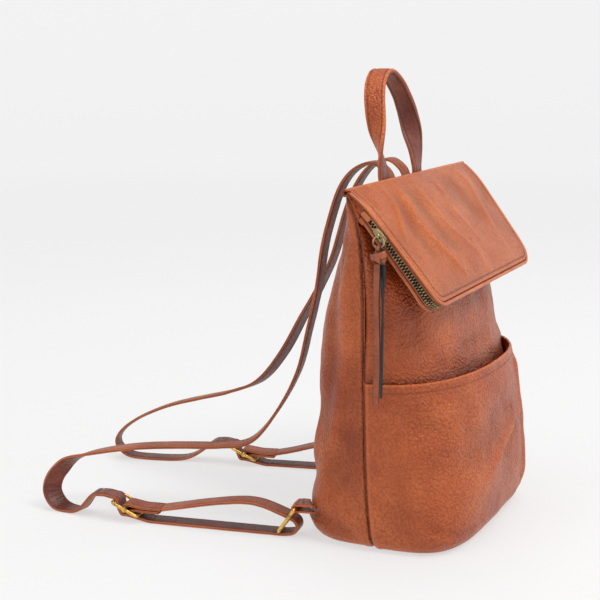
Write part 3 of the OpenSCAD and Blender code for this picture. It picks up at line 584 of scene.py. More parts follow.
def make_stage():
    """White paper: a flat floor that curves up all round, a little brighter further away."""
    n = Nodes("studio_paper")
    here = n.coords()
    n.put(n.bsdf,
          Base_Color=n.ramp(n.noise(here, 900.0, 2.0), [(0.3, (0.27, 0.27, 0.27)), (0.7, (0.29, 0.29, 0.29))]),
          Roughness=n.math("ADD", n.math("MULTIPLY", n.noise(here, 40.0), 0.1), 0.85))
    n.bsdf.inputs["Specular IOR Level"].default_value = 0.1
    n.bsdf.inputs["Emission Color"].default_value = (1, 1, 1, 1)
    away = n.add("ShaderNodeVectorMath", operation="LENGTH")
    n.link(here, away.inputs[0])
    glow = [(at, (level, level, level)) for at, level in ((0.04, 0.59), (0.22, 0.64), (0.5, 0.69), (0.9, 0.73))]
    n.put(n.bsdf, Emission_Strength=n.ramp(n.math("MULTIPLY", away.outputs["Value"], 0.2), glow))
    flat_rows, rows, columns, floor_r, cove_r = 14, 26, 48, 4000, 1500
    V = []
    for i in range(rows + 1):
        for j in range(columns):
            a = 2 * PI * j / columns
            if i <= flat_rows:
                r, z = floor_r * (i / flat_rows) ** 1.4, 0.0
            else:
                t = (i - flat_rows) / (rows - flat_rows) * PI / 2
                r, z = floor_r + cove_r * math.sin(t), cove_r * (1 - math.cos(t)) * 2.2
            V.append([r * math.cos(a) + 0.01 * (i == 0), r * math.sin(a), z])
    F = quads(rows + 1, columns, wrap=True)
    ob = piece("studio_floor", V, F, n.mat, flip=False)
    ob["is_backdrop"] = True


def area(name, at, target, size, power, colour=(1, 1, 1)):
    d = bpy.data.lights.new(name, "AREA")
    d.shape, d.size, d.size_y = "RECTANGLE", size[0], size[1]
    d.energy, d.color = power, colour
    o = bpy.data.objects.new(name, d)
    bpy.context.scene.collection.objects.link(o)
    o.location = at
    o.rotation_euler = (Vector(target) - Vector(at)).to_track_quat("-Z", "Y").to_euler()
    return o


bpy.context.scene.view_settings.view_transform = "Standard"
make_stage()
world = bpy.data.worlds.new("studio")
bpy.context.scene.world = world
world.use_nodes = True
world.node_tree.nodes["Background"].inputs[0].default_value = (1.0, 1.0, 1.0, 1)
world.node_tree.nodes["Background"].inputs[1].default_value = 0.14
area("key_light", (-0.35, -1.0, 1.75), (0, 0.02, 0.15), (0.7, 0.7), 22, (1.0, 0.985, 0.965))
area("top_light", (0.2, 0.1, 2.1), (0, 0.05, 0.1), (1.5, 1.5), 21)
area("side_fill", (-1.5, 0.9, 1.1), (0, 0.1, 0.15), (1.0, 0.9), 5, (0.96, 0.98, 1.0))
area("front_fill", (0.9, -1.8, 0.8), (0, 0, 0.15), (1.0, 0.8), 4)


# ---- body ------------------------------------------------------------------------------------------------

def outline_row(n, side, inset, T, gap=0.15):
    """Points of the body's outline at one height, at shares T of the way from the -X seam to the +X seam."""
    u = np.linspace(0, 1, 401)
    th = np.radians(np.where(u <= 0.5, 90 * step01(2 * u), 180 - 90 * step01(2 - 2 * u)))
    e = 2 / float((F_NF if side < 0 else F_NB)(n))
    c, s = np.cos(th), np.maximum(np.sin(th), 0)
    a, d = float(F_A(n)) - inset, float((F_F if side < 0 else F_B)(n)) - inset
    x = -a * signed_power(c, e)
    y = float(F_S(n)) + side * (gap + max(d, 0.05) * s ** e)
    q = np.concatenate([[0], np.cumsum(np.hypot(np.diff(x), np.diff(y)))])
    return np.stack([np.interp(T * q[-1], q, x), np.interp(T * q[-1], q, y)], axis=1), q[-1]


def shares(count):
    """Shares of the way across, closer together at the seams."""
    near = np.array([0, 0.0012, 0.0026, 0.0044, 0.0068, 0.0098, 0.0135, 0.018, 0.0235, 0.03])
    return np.concatenate([near, np.linspace(0.036, 0.964, count), 1 - near[::-1]])


def panel_grid(heights, side, inset, T, gap=0.15):
    rows, arcs = [], []
    for n in heights:
        p, q = outline_row(n, side, inset, T, gap)
        rows.append(np.column_stack([p, np.full(len(T), float(n))]))
        arcs.append(T * q)
    return np.array(rows), np.array(arcs)


def crease(A, Z, line, width, height, skew=0.0, fade=0.25):
    """A fold along a line of (arc, height) points: a positive height stands out, a negative one
    sinks in. skew throws it to one side."""
    L = np.asarray(line, float)
    best = np.full(A.shape, 1e9)
    out = np.zeros(A.shape)
    seg = np.linalg.norm(np.diff(L, axis=0), axis=1)
    total, run = seg.sum(), 0.0
    for (a, b), l in zip(zip(L[:-1], L[1:]), seg):
        d = (b - a) / l
        t = np.clip((A - a[0]) * d[0] + (Z - a[1]) * d[1], 0, l)
        px, pz = A - a[0] - t * d[0], Z - a[1] - t * d[1]
        dist = np.hypot(px, pz)
        side = np.sign(px * d[1] - pz * d[0])
        s = (run + t) / total
        g = bell(dist, 0, width) * step01(s / fade) * step01((1 - s) / fade)
        v = height * g * (1 + skew * side * np.minimum(dist / width, 1.5))
        out = np.where(dist < best, v, out)
        best = np.minimum(best, dist)
        run += l
    return out


def creases(A, Z, rows):
    return sum(crease(A, Z, *row) for row in rows)


def bulge(A, Z, at, size, height):
    return height * np.exp(-((A - at[0]) / size[0]) ** 2 - ((Z - at[1]) / size[1]) ** 2)


def seam_turn(arc, total, depth=1.3, reach=2.3):
    """How far a panel sinks where it turns in to its side seams."""
    d = np.minimum(arc, total - arc)
    return -depth * np.clip(1 - d / reach, 0, 1) ** 2 + 0.55 * bell(d, 5.0, 2.6)


T_ACROSS = shares(148)
FOOT = [1.2, 2.0, 3.2, 4.8, 6.8, 9.2, 12.0]


def soft_field(G, seed, scale=1.0):
    """The slack of the hide: broad hollows, then smaller ones, mostly inwards."""
    return scale * (1.6 * noise(G, 62, seed) + 1.15 * noise(G, 27, seed + 1) + 0.42 * noise(G, 11, seed + 2)
        - 0.55)


def fine_wrinkles(A, Z, at, size, angle, pitch, height, seed):
    """A patch of fine parallel wrinkles."""
    a = math.radians(angle)
    q = (A - at[0]) * math.cos(a) + (Z - at[1]) * math.sin(a)
    wob = noise(flat_points(A, Z), 14, seed) * 2.4
    patch = np.exp(-((A - at[0]) / size[0]) ** 2 - ((Z - at[1]) / size[1]) ** 2)
    uneven = 0.6 + 0.4 * noise(flat_points(A, Z), 9, seed + 5)
    return height * patch * np.sin((q + wob * 1.6) / pitch * 2 * PI) * uneven


# back panel
zb = np.concatenate([FOOT, np.arange(15, 286.5, 2.6), [287.2]])
Gb, Ab = panel_grid(zb, 1, 0.0, T_ACROSS)
Tb = Ab[:, -1:]
Nb = -grid_normals(Gb)
Zb = Gb[..., 2]
BACK_CREASES = [  # (arc, height) points, width, height, skew; the same on both sides
    ([(12, 262), (17, 210), (15, 165), (24, 121), (31, 84), (33, 58)], 7.5, 2.3, 0.5),
    ([(30, 258), (34, 205), (31, 160), (40, 118), (45, 90)], 8.0, -3.4, 0.3),
    ([(58, 150), (60, 112), (58, 78), (66, 46)], 6.5, 2.4),
    ([(84, 27), (66, 21), (44, 20), (25, 15), (9, 9)], 6.0, -2.4, 0.6),
    ([(14, 104), (20, 80), (16, 52)], 6.0, -1.6, -0.5),
    ([(9, 268), (20, 236), (27, 212)], 4.0, -1.5, 0.8),
]
fade_b = step01(Zb / 14) * step01((289 - Zb) / 22) \
    * (1 - 0.75 * bell(Gb[..., 0], 0, 64) * step01((Zb - 225) / 20))
shape = soft_field(Gb, 11)
for side_arc in (Ab, Tb - Ab):
    near = side_arc is Ab
    k = 1.0 if near else 0.8
    shape += creases(side_arc, Zb, [(line, wide, high * k, *skew) for line, wide, high, *skew in BACK_CREASES])
    shape += bulge(side_arc, Zb, (70, 108), (30, 22), -2.4 * k)
    shape += bulge(side_arc, Zb, (52, 35), (34, 16), 1.6 * k)
    shape += fine_wrinkles(side_arc, Zb, (24, 216), (22, 30), 62, 4.2, 0.34, 31)
    shape += fine_wrinkles(side_arc, Zb, (30, 130), (20, 40), 55, 4.2, 0.28, 37)
shape += crease(Ab, Zb, [(95, 226), (150, 200), (215, 214)], 9, -1.8, 0.2) \
    + crease(Ab, Zb, [(110, 66), (160, 58), (214, 70)], 8, -1.6, 0.3)
disp = shape * fade_b + seam_turn(Ab, Tb)
Ob = Gb + Nb * disp[..., None]
Ob[..., 2] = np.clip(Ob[..., 2], 0.4, 288.2)
# painted shade in the hollows and along the seams, painted highlight on raised folds and on the roll beside
# each seam, and lighter towards the bottom
back_wear_and_painted_light = np.clip(shape * 0.09, -0.22, 0.3) - 1.0 * np.clip(1.3 - np.minimum(Ab, Tb - Ab) / 1.9, 0, 1) \
    + 0.25 * bell(np.minimum(Ab, Tb - Ab), 3.2, 1.2) + 0.35 * step01((10 - Zb) / 8)
v, f, w = shell(Ob, Ob - Nb * SKIN, back_wear_and_painted_light)
piece("bag_back_leather", v, f, TAN, "bag", ("back_panel",), w)

# front panel
zf = np.concatenate([FOOT, np.arange(15, 263.5, 2.6), [265.2]])
Gf, Af = panel_grid(zf, -1, 0.0, T_ACROSS)
Tf = Af[:, -1:]
Nf = grid_normals(Gf)
Zf = Gf[..., 2]
shape = soft_field(Gf, 41, 0.9)
shape += bulge(Af, Zf, (120, 150), (80, 13), -2.0) + bulge(Af, Zf, (62, 196), (34, 26), 2.0)
FRONT_CREASES = [
    ([(262, 176), (268, 160), (252, 146), (236, 139)], 5.0, 2.4, 0.5),
    ([(250, 186), (255, 164), (240, 148)], 5.0, -1.9, 0.2),
    ([(24, 236), (28, 204), (22, 170), (30, 148)], 5.5, 1.5, 0.7),
    ([(40, 222), (46, 190), (40, 160)], 7, -1.6),
    ([(84, 168), (130, 158), (190, 160)], 7, -1.5, 0.4),
]
shape += creases(Af, Zf, FRONT_CREASES)
shape += fine_wrinkles(Af, Zf, (30, 196), (24, 36), 48, 4.2, 0.34, 53)
fade_f = step01(Zf / 14) * step01((266 - Zf) / 18)
disp = shape * fade_f + seam_turn(Af, Tf) - 1.5 * step01((134 - Zf) / 8)
Of = Gf + Nf * disp[..., None]
Of[..., 2] = np.clip(Of[..., 2], 0.4, 266)
df = np.minimum(Af, Tf - Af)
# painted shade in the hollows, along the seams and below the pocket's mouth, where the pocket covers the panel;
# painted highlight on raised folds and on the roll beside each seam
front_wear_and_painted_light = np.clip(shape * 0.09, -0.22, 0.3) - 1.0 * np.clip(1.3 - df / 1.9, 0, 1) \
    + 0.2 * bell(df, 3.2, 1.2) - 0.55 * step01((150 - Zf) / 10)
v, f, w = shell(Of, Of - Nf * SKIN, front_wear_and_painted_light)
piece("bag_front_leather", v, f, TAN, "bag", ("front_panel",), w)

# slip pocket: sewn into the side seams, its mouth a turned hem that stands open
zp = np.concatenate([FOOT, np.arange(15, 126, 2.6), [128, 130, 132, 133.5, 134.6, 135.6, 136.5, 137.5, 138.8,
    140.2, 141.2, 142]])
Gp, Ap = panel_grid(zp, -1, -2.3, T_ACROSS)
Tp = Ap[:, -1:]
hump = np.sin(PI * T_ACROSS)
lift = (POCKET_H - 3 + 3 * hump) / POCKET_H
gape = POCKET_GAPE * hump[None] ** 1.2 * (zp[:, None] / POCKET_H) ** 2.2
Gp[..., 2] = zp[:, None] * lift[None]
Gp[..., 1] -= gape
Np = grid_normals(Gp)
Zp = Gp[..., 2]
shape = soft_field(Gp, 71, 0.9)
shape += bulge(Ap, Zp, (105, 52), (62, 15), 2.6) + bulge(Ap, Zp, (150, 92), (55, 18), -1.8)
POCKET_CREASES = [
    ([(206, 98), (190, 80), (160, 68), (118, 52)], 5.5, 2.5, 0.6, 0.35),
    ([(210, 84), (186, 66), (150, 54)], 6.0, -1.8, 0.3, 0.4),
    ([(226, 140), (230, 110), (238, 70), (242, 30), (234, 12)], 4.2, 2.6, 0.5, 0.12),
    ([(244, 141), (243, 116), (247, 82), (249, 48)], 5.0, -5.2, 0.6, 0.2),
    ([(262, 138), (264, 100), (266, 60)], 7.0, 1.8, 0, 0.3),
    ([(44, 30), (62, 19), (84, 16), (108, 19)], 5.5, -1.6, 0.8, 0.3),
    ([(50, 22), (70, 12), (96, 10)], 4.0, 1.2, 0.3, 0.3),
    ([(16, 128), (34, 112), (70, 104)], 8, -1.2, 0.3),
]
shape += creases(Ap, Zp, POCKET_CREASES)
shape += bulge(Ap, Zp, (50, 84), (34, 24), 1.0)
shape += fine_wrinkles(Ap, Zp, (184, 96), (26, 18), 115, 4.0, 0.34, 83) + fine_wrinkles(Ap, Zp, (84, 22),
    (26, 9), 80, 4.0, 0.36, 87)
shape += fine_wrinkles(Ap, Zp, (70, 52), (60, 26), 60, 4.2, 0.22, 89)
top = Zp - (zp[-1] * lift)[None]
dp = np.minimum(Ap, Tp - Ap)
hem = 0.35 * step01((top + 7.5) / 1.6) - 0.42 * bell(top, -6.3, 0.8)
shape = shape * step01(Zp / 12) * (0.4 + 0.6 * step01(-top / 12)) * step01(dp / 10)
disp = shape + hem * step01((dp - 3) / 4) + seam_turn(Ap, Tp, 3.2, 3.6)
Op = Gp + Np * disp[..., None]
Op[..., 2] = np.maximum(Op[..., 2], 0.4)
# painted shade in the hollows, along the seams and in the hem's stitch groove; painted highlight on raised
# folds, beside the seams and along the rim of the mouth; lighter towards the bottom
pocket_wear_and_painted_light = np.clip(shape * 0.09, -0.22, 0.3) - 1.0 * np.clip(1.3 - dp / 1.8, 0, 1) \
    + 0.5 * bell(dp, 3.6, 1.1) + 0.55 * step01((top + 1.2) / 1.2) \
    - 0.35 * bell(top, -6.3, 0.7) + 0.3 * step01((9 - Zp) / 8)
v, f, w = shell(Op, Op - Np * (SKIN + 0.25 * step01((top + 7.5) / 1.5)[..., None]), pocket_wear_and_painted_light, 0.45)
piece("pocket_leather", v, f, TAN, "bag", ("front_pocket",), w)
row = int(np.argmin(np.abs(zp - 135.6)))
keep = slice(9, -9)
stitching("pocket_hem_stitches", [stitch_line(Op[row, keep], Np[row, keep], 3.2, 2.2, 0.6, 0.28)], "bag")

# base, turned under and sewn to the panels
rows = []
ring_u = np.linspace(0, 1, 61)
edge = np.concatenate([outline_row(0, -1, 2.3, ring_u)[0], outline_row(0, 1, 2.3, ring_u)[0][-2:0:-1]])
for k, z in ((0.0, 0.75), (0.25, 0.7), (0.5, 0.6), (0.72, 0.5), (0.86, 0.42), (0.93, 0.25), (0.955, 0.12),
             (0.985, 0.1), (1.0, 0.35), (1.003, 1.0), (0.99, 1.9), (0.9, 2.15), (0.6, 2.15), (0.0, 2.15)):
    p = edge * max(k, 0.002)
    rows.append(np.column_stack([p, np.full(len(p), z)]))
G = np.array(rows)
G[1:8, :, 2] += 0.12 * noise(G[1:8], 17, 5)
G[..., 2] = np.maximum(G[..., 2], 0.02)
v, f = tube(G, caps=True)
piece("base_leather", v, f, TAN, "bag", ("base_panel",),
    np.concatenate([(0.25 * noise(G, 24, 9)).ravel(), [0, 0]]))
line = np.column_stack([edge * 0.905, np.full(len(edge), 0.42)])
stitching("base_stitches", [stitch_line(line, np.tile([0, 0, -1.0], (len(line), 1)), 3.6, 2.6, 0.6, 0.25)],
    "bag")

# cloth lining: a bucket, sewn to the panels at the mouth, slack below
rows = []
T_L = np.linspace(0, 1, 49)


def lining_ring(n, inset):
    p = np.concatenate([outline_row(n, -1, inset, T_L)[0], outline_row(n, 1, inset, T_L)[0][-2:0:-1]])
    return np.column_stack([p, np.full(len(p), float(n))])


levels = [6.0] + list(np.arange(14, 256, 6.0)) + [258.0]
outer = np.array([lining_ring(n, 6.4 if n < 230 else 6.4 - 3.4 * step01((n - 230) / 24)) for n in levels])
outer[0, :, 2] = 5.6
mid = outer.mean(1, keepdims=True)
away = unit((outer - mid) * [1, 1, 0])
slack = 0.9 * noise(outer, 34, 21) + 0.5 * noise(outer * [1, 1, 0.35], 9, 22) - 0.6
slack = slack * step01((250 - outer[..., 2]) / 30)
outer = outer + away * slack[..., None]
inner = outer - away * 0.6
inner[0, :, 2] += 0.6
floor_o = np.array([mid[0] + (outer[0] - mid[0]) * k for k in (0.02, 0.35, 0.7)])
floor_i = np.array([mid[0] + (inner[0] - mid[0]) * k for k in (0.7, 0.35, 0.02)])
floor_i[..., 2] = 6.3 + 0.3 * noise(floor_i, 30, 3)
G = np.concatenate([floor_o, outer, inner[::-1], floor_i])
v, f = tube(G)
piece("lining_cloth", v, f, LINING, "bag", ("body_lining",))

# top yoke, where the handle and the straps are sewn down
zy = np.concatenate([[256, 256.6, 257.5], np.arange(259, 283, 1.6), [283.4, 284.1, 284.5]])
xy = np.concatenate([[-60, -59.4, -58.5], np.linspace(-57, 57, 76), [58.5, 59.4, 60]])


def back_at(n, x, inset=0.0):
    a, k, d = float(F_A(n)) - inset, float(F_NB(n)), float(F_B(n)) - inset
    return float(F_S(n)) + d * np.maximum(0, 1 - np.minimum(1, np.abs(x) / a) ** k) ** (1 / k)


Gy = np.array([np.column_stack([xy, back_at(n, xy, -2.1), np.full(len(xy), n)]) for n in zy])
Ny = -grid_normals(Gy)
d_edge = np.minimum(np.minimum(Gy[..., 0] + 60, 60 - Gy[..., 0]),
    np.minimum(Gy[..., 2] - 256, 284.5 - Gy[..., 2]))
disp = 0.25 * noise(Gy, 16, 4) * step01(d_edge / 4) - 0.35 * bell(d_edge, 3.2, 0.7) \
    - 0.5 * np.clip(1 - d_edge / 1.2, 0, 1) ** 2
Oy = Gy + Ny * disp[..., None]
# lighter at its edge, with painted shade in the groove of its stitch line
v, f, w = shell(Oy, Gy - Ny * 1.7, 0.4 * np.clip(1 - d_edge / 1.4, 0, 1) - 0.3 * bell(d_edge, 3.2, 0.8))
piece("yoke_leather", v, f, TAN, "bag", ("top_yoke",), w)
ia, ib = int(np.argmin(np.abs(zy - 259))), int(np.argmin(np.abs(zy - 281.4)))
ja, jb = 3, len(xy) - 4
lines = [stitch_line(Oy[ia, ja:jb], Ny[ia, ja:jb]), stitch_line(Oy[ib, ja:jb], Ny[ib, ja:jb]),
         stitch_line(Oy[ia:ib, ja], Ny[ia:ib, ja]), stitch_line(Oy[ia:ib, jb], Ny[ia:ib, jb])]
stitching("yoke_stitches", lines, "bag")


# ---- flap ------------------------------------------------------------------------------------------------

LEAN = math.atan(14 / FLAP_L)  # how far the flap's sides draw in
TAN_LEAN = math.tan(LEAN)
CORNER_S = FLAP_L - FLAP_R
CORNER_W = FLAP_R / math.cos(LEAN) - (HALF_W - TAN_LEAN * CORNER_S)
R_1, R_2 = 30 / math.radians(18), 27 / math.radians(12)


def dip(s):
    s = np.asarray(s, float)
    return np.radians(np.where(s < 30, 34 + 18 * s / 30, np.where(s < 86, 52.0, 52 + 12 * (s - 86) / 27)))


def flap_yz(s, n):
    s = np.asarray(s, float)
    a, a0, a1 = dip(s), math.radians(34), math.radians(52)
    st = np.minimum(s, 30)
    y = -R_1 * (np.sin(dip(st)) - math.sin(a0)) - math.cos(a1) * (np.clip(s, 30, 86) - 30)
    z = -R_1 * (math.cos(a0) - np.cos(dip(st))) - math.sin(a1) * (np.clip(s, 30, 86) - 30)
    y = y - np.where(s > 86, R_2 * (np.sin(a) - math.sin(a1)), 0)
    z = z - np.where(s > 86, R_2 * (math.cos(a1) - np.cos(a)), 0)
    return 9 - 3 * math.sin(a0) + y - n * np.sin(a), FOLD_H + 3 * math.cos(a0) + z + n * np.cos(a)


def flap_pt(s, w, n):
    s, w, n = np.broadcast_arrays(np.asarray(s, float), np.asarray(w, float), np.asarray(n, float))
    y, z = flap_yz(s, n)
    return np.stack([w, y, z], axis=-1)


def flap_half(s, i):
    s = np.asarray(s, float)
    side = HALF_W - TAN_LEAN * s - i / math.cos(LEAN)
    turn = -CORNER_W + np.sqrt(np.maximum(0, (FLAP_R - i) ** 2 - (s - CORNER_S) ** 2))
    return np.where(s <= CORNER_S + FLAP_R * math.sin(LEAN), side, turn)


def under_n(s):
    return -(11.4 + 3.6 * (np.asarray(s, float) - 22) / (FLAP_L - 22))


def crown(s, w, i):
    return 2.4 * step01(s / 30) * step01((FLAP_L - i - s) / 40) * np.maximum(0,
        1 - (w / flap_half(s, i)) ** 2)


def flap_rows(i, first, count=46):
    side = np.linspace(first, CORNER_S + (FLAP_R - i) * math.sin(LEAN), count)
    a = LEAN + (PI / 2 - LEAN) * np.linspace(0, 1, 22)[1:]
    return np.concatenate([side, CORNER_S + (FLAP_R - i) * np.sin(a)])


EDGE_IN = np.array([0, 0.35, 0.8, 1.3, 1.9, 2.5, 3.1, 3.7, 4.4, 5.4, 7.0])


def flap_cols(half, count=94):
    near = EDGE_IN[:, None]
    half = np.asarray(half)[None]
    mid_q = np.linspace(-1, 1, count)[:, None] * (half - 9.5)
    return np.concatenate([-half + near, mid_q, half - near[::-1]]).T


def edge_gap(s, w, i):
    """How far a point lies inside the outline that is drawn in by i."""
    side = (HALF_W - TAN_LEAN * s - i / np.cos(LEAN) - np.abs(w)) * math.cos(LEAN)
    tip = FLAP_L - i - s
    corner = (FLAP_R - i) - np.hypot(s - CORNER_S, np.abs(w) + CORNER_W)
    in_corner = (s > CORNER_S) & (np.abs(w) > -CORNER_W)
    return np.where(in_corner, corner, np.minimum(side, tip))


FLAP_CREASES = [  # (w, s) points, width, height, skew, fade
    ([(-84, -6), (-90, 12), (-98, 27), (-112, 44), (-126, 62)], 2.6, 1.5, 0.7, 0.3),
    ([(-56, -6), (-68, 24), (-76, 42), (-66, 68), (-48, 96), (-55, 108)], 2.2, 1.8, 0.8, 0.2),
    ([(-72, 0), (-84, 30), (-92, 52), (-84, 84)], 9.0, -1.7, 0.2, 0.3),
    ([(-18, -6), (-28, 26), (-20, 56), (4, 84), (10, 104)], 3.0, 0.9, 0.6, 0.25),
    ([(-40, 0), (-50, 28), (-44, 60), (-20, 92)], 10.0, -1.5, 0.2, 0.3),
    ([(34, -6), (14, 38), (26, 72), (40, 94)], 4.0, 0.6, 0.6, 0.25),
    ([(58, 0), (60, 40), (70, 70)], 16.0, -2.0, 0.2, 0.3),
    ([(96, -6), (104, 20), (92, 52), (78, 84)], 5.0, 0.9, -0.5, 0.25),
    ([(120, 6), (124, 30), (116, 58)], 6.0, -0.8, 0.4, 0.3),
    ([(-128, 0), (-132, 14), (-124, 30)], 4.0, -1.2, 0.5, 0.3),
]


def flap_folds(s, w):
    """Soft folds that fan out from the fold line, as (s, w) fields."""
    S2, W2 = np.broadcast_arrays(s, w)
    out = creases(W2, S2, FLAP_CREASES)
    P = flat_points(W2, S2)
    out += 0.55 * noise(P * [1, 0.6, 1], 34, 91) + 0.22 * noise(P * [1, 0.5, 1], 12, 92)
    return out * (0.62 + 0.38 * step01(S2 / 34))


def roll_part(r):
    t = np.radians(np.linspace(-98, 124, 26))
    w = flap_cols(np.full(len(t), HALF_W))
    c = np.broadcast_to(np.cos(t)[:, None], w.shape)
    s = np.broadcast_to(np.sin(t)[:, None], w.shape)
    return np.stack([w, 9 + r * c, FOLD_H + r * s], axis=-1)


i0 = 3.3
s_rows = flap_rows(i0, 1.4)
W = flap_cols(flap_half(s_rows, i0))
S = np.broadcast_to(s_rows[:, None], W.shape)
gapf = edge_gap(S, W, i0)
gapf[-1] = 0
rim_turn = -1.5 * np.clip(1 - gapf / 2.6, 0, 1) ** 2.2 - 0.28 * bell(gapf, 4.0, 0.6)
fold = flap_folds(S, W) * step01(gapf / 7) * step01((S + 4) / 12)
top_n = crown(S, W, i0) + fold + rim_turn * step01((S - 4) / 16)
rollO, rollI = roll_part(3.0), roll_part(1.2)
near_fold = flap_folds(np.zeros(rollO.shape[:2]), rollO[..., 0]) * 0.22
t_roll = np.linspace(0, 1, rollO.shape[0])[:, None]
axis_out = unit((rollO - rollI))
rollO = rollO + axis_out * (near_fold * step01((t_roll - 0.35) / 0.5)
    * step01((HALF_W - np.abs(rollO[..., 0])) / 8))[..., None]
O = np.concatenate([rollO, flap_pt(S, W, top_n)])
I = np.concatenate([rollI, flap_pt(S, W, top_n - 1.8)])
# painted highlight on the rolled fold, on raised folds and along the rim; painted shade in the fold valleys, at
# the very edge, in the groove inside the rim, and on the rounded edge that turns under it
wear_and_painted_light = np.concatenate([0.3 * np.ones(rollO.shape[:2]) * step01(t_roll * 2) + 0.3 * near_fold,
                       np.clip(0.24 * fold, -0.3, 0.6) + 0.5 * bell(gapf, 1.4, 0.8)
                       - 0.9 * np.clip(1 - gapf / 0.9, 0, 1) - 0.8 * bell(gapf, 4.0, 0.7)])
v, f, w = shell(O, I, wear_and_painted_light, -0.7)
piece("flap_leather", v, f, FLAP_TAN, "flap", ("flap_top_panel",), w)

# under side of the flap, and its cloth
s_rows = flap_rows(3.3, 22.0, 40)
W = flap_cols(flap_half(s_rows, 3.3), 60)
S = np.broadcast_to(s_rows[:, None], W.shape)
g = edge_gap(S, W, 3.3)
dent = 0.35 * noise(flat_points(W, S), 30, 61) * step01(g / 6) + 0.8 * np.clip(1 - g / 2.4, 0, 1) ** 2
# lighter where it dents and towards its edge; painted shade on its rounded edge
v, f, w = shell(flap_pt(S, W, under_n(S) + 0.5 + np.minimum(dent, 1.0)), flap_pt(S, W, under_n(S) + 1.8),
    0.3 * dent, -0.5)
piece("flap_under_leather", v, f, TAN, "flap", ("flap_under_panel",), w)
s_rows = flap_rows(6, 12.0, 24)
W = flap_cols(flap_half(s_rows, 6), 40)
S = np.broadcast_to(s_rows[:, None], W.shape)
n0 = crown(S, W, 3.3) - 1.8 - SEAM - 1.4 + 0.2 * noise(flat_points(W, S), 12, 3)
v, f, w = shell(flap_pt(S, W, n0), flap_pt(S, W, n0 - 0.6))
piece("flap_lining_cloth", v, f, LINING, "flap", ("flap_lining",), w)


def edge_path(i, first, steps=34):
    """Round the flap's edge, drawn in by i: rows of s, w and the angle of the outward side."""
    end = CORNER_S + (FLAP_R - i) * math.sin(LEAN)
    s = np.linspace(first, end, steps, endpoint=False)
    near = [(a, -(HALF_W - TAN_LEAN * a - i / math.cos(LEAN)), LEAN) for a in s]
    near += [(CORNER_S + (FLAP_R - i) * math.sin(a), CORNER_W - (FLAP_R - i) * math.cos(a), a)
             for a in LEAN + (PI / 2 - LEAN) * np.linspace(0, 1, 16)]
    mid_w = np.linspace(CORNER_W, -CORNER_W, 44)[1:-1]
    return np.array(near + [(FLAP_L - i, w, PI / 2) for w in mid_w] + [(a, -w, PI - t) for a, w,
        t in near[::-1]])


def edge_sweep(E, section, level):
    """Sweeps a section of [out, up] pairs round the edge; up is counted from level(s)."""
    sec = np.asarray(section, float)
    s = E[:, :1] + sec[None, :, 0] * np.sin(E[:, 2:3])
    w = E[:, 1:2] - sec[None, :, 0] * np.cos(E[:, 2:3])
    return flap_pt(s, w, level(E[:, :1]) + sec[None, :, 1])


def rim_section(flipped=False):
    """A folded leather edge: round outside, with a groove where it is sewn."""
    t = np.radians([-90, -70, -50, -30, -10, 10, 30, 50, 70, 90, 110, 130, 150, 165])
    top = np.stack([1.42 * np.cos(t), -1.45 + 1.42 * np.sin(t)], axis=1)
    sec = np.concatenate([[[-1.45, -3.05], [-0.4, -3.1], [0.5, -3.05], [1.0, -2.8]], top[1:],
        [[-1.5, -1.6], [-1.5, -2.4]]])
    return sec * [1, -1] if flipped else sec


def along_n(s):
    return 0 * np.asarray(s, float)


for name, flipped, level, node, first in (("rim_upper", False, along_n, "flap_top_rim", 3.0),
        ("rim_lower", True, under_n, "flap_under_rim", 22.0)):
    E = edge_path(1.5, first)
    sec = rim_section(flipped)
    G = edge_sweep(E, sec, level)
    slack = 0.12 * noise(G, 9, 17) + 0.05 * noise(G, 3.5, 18)
    G = G + unit(G - G.mean(1, keepdims=True)) * slack[..., None]
    v, f = tube(G)
    # painted highlight along the crest of each rim, painted shade on its lowest part, against the seam
    peak = bell(np.abs(sec[:, 1]), 0.5, 0.9)
    lowest = (np.abs(sec[:, 1]) > 2.7).astype(float)
    w = np.broadcast_to(0.55 * peak - 0.7 * lowest, G.shape[:2]).ravel() + 0.2 * noise(G, 14, 5).ravel()
    w = np.concatenate([w, [0, 0]])
    piece(name + "_leather", v, f, EDGE_TAN, "flap", (node,), w)
    # a thin second fold beside the zip, as on a bound edge
    up = 1 if not flipped else -1
    lip = round_section(0.62, 10) * [0.8, 1] + [0.72, -up * 3.75 if not flipped else 3.75]
    G = edge_sweep(edge_path(2.2, first + 20 if not flipped else 23), lip, level)
    v, f = tube(G)
    piece(name + "_lip", v, f, EDGE_TAN, "flap", (),
        np.concatenate([0.1 * noise(G, 6, 3).ravel(), [0, 0]]))

E = edge_path(i0 + 4.0, 22.0)
c = crown(E[:, 0], E[:, 1], i0) + flap_folds(E[:, 0], E[:, 1]) * step01(4.0 / 7) - 0.22
P = flap_pt(E[:, 0], E[:, 1], c)
a = dip(E[:, 0])
N = np.stack([0 * a, -np.sin(a), np.cos(a)], axis=1)
stitching("flap_edge_stitches", [stitch_line(P, N, 3.2, 2.2, 0.55, 0.24)], "flap")

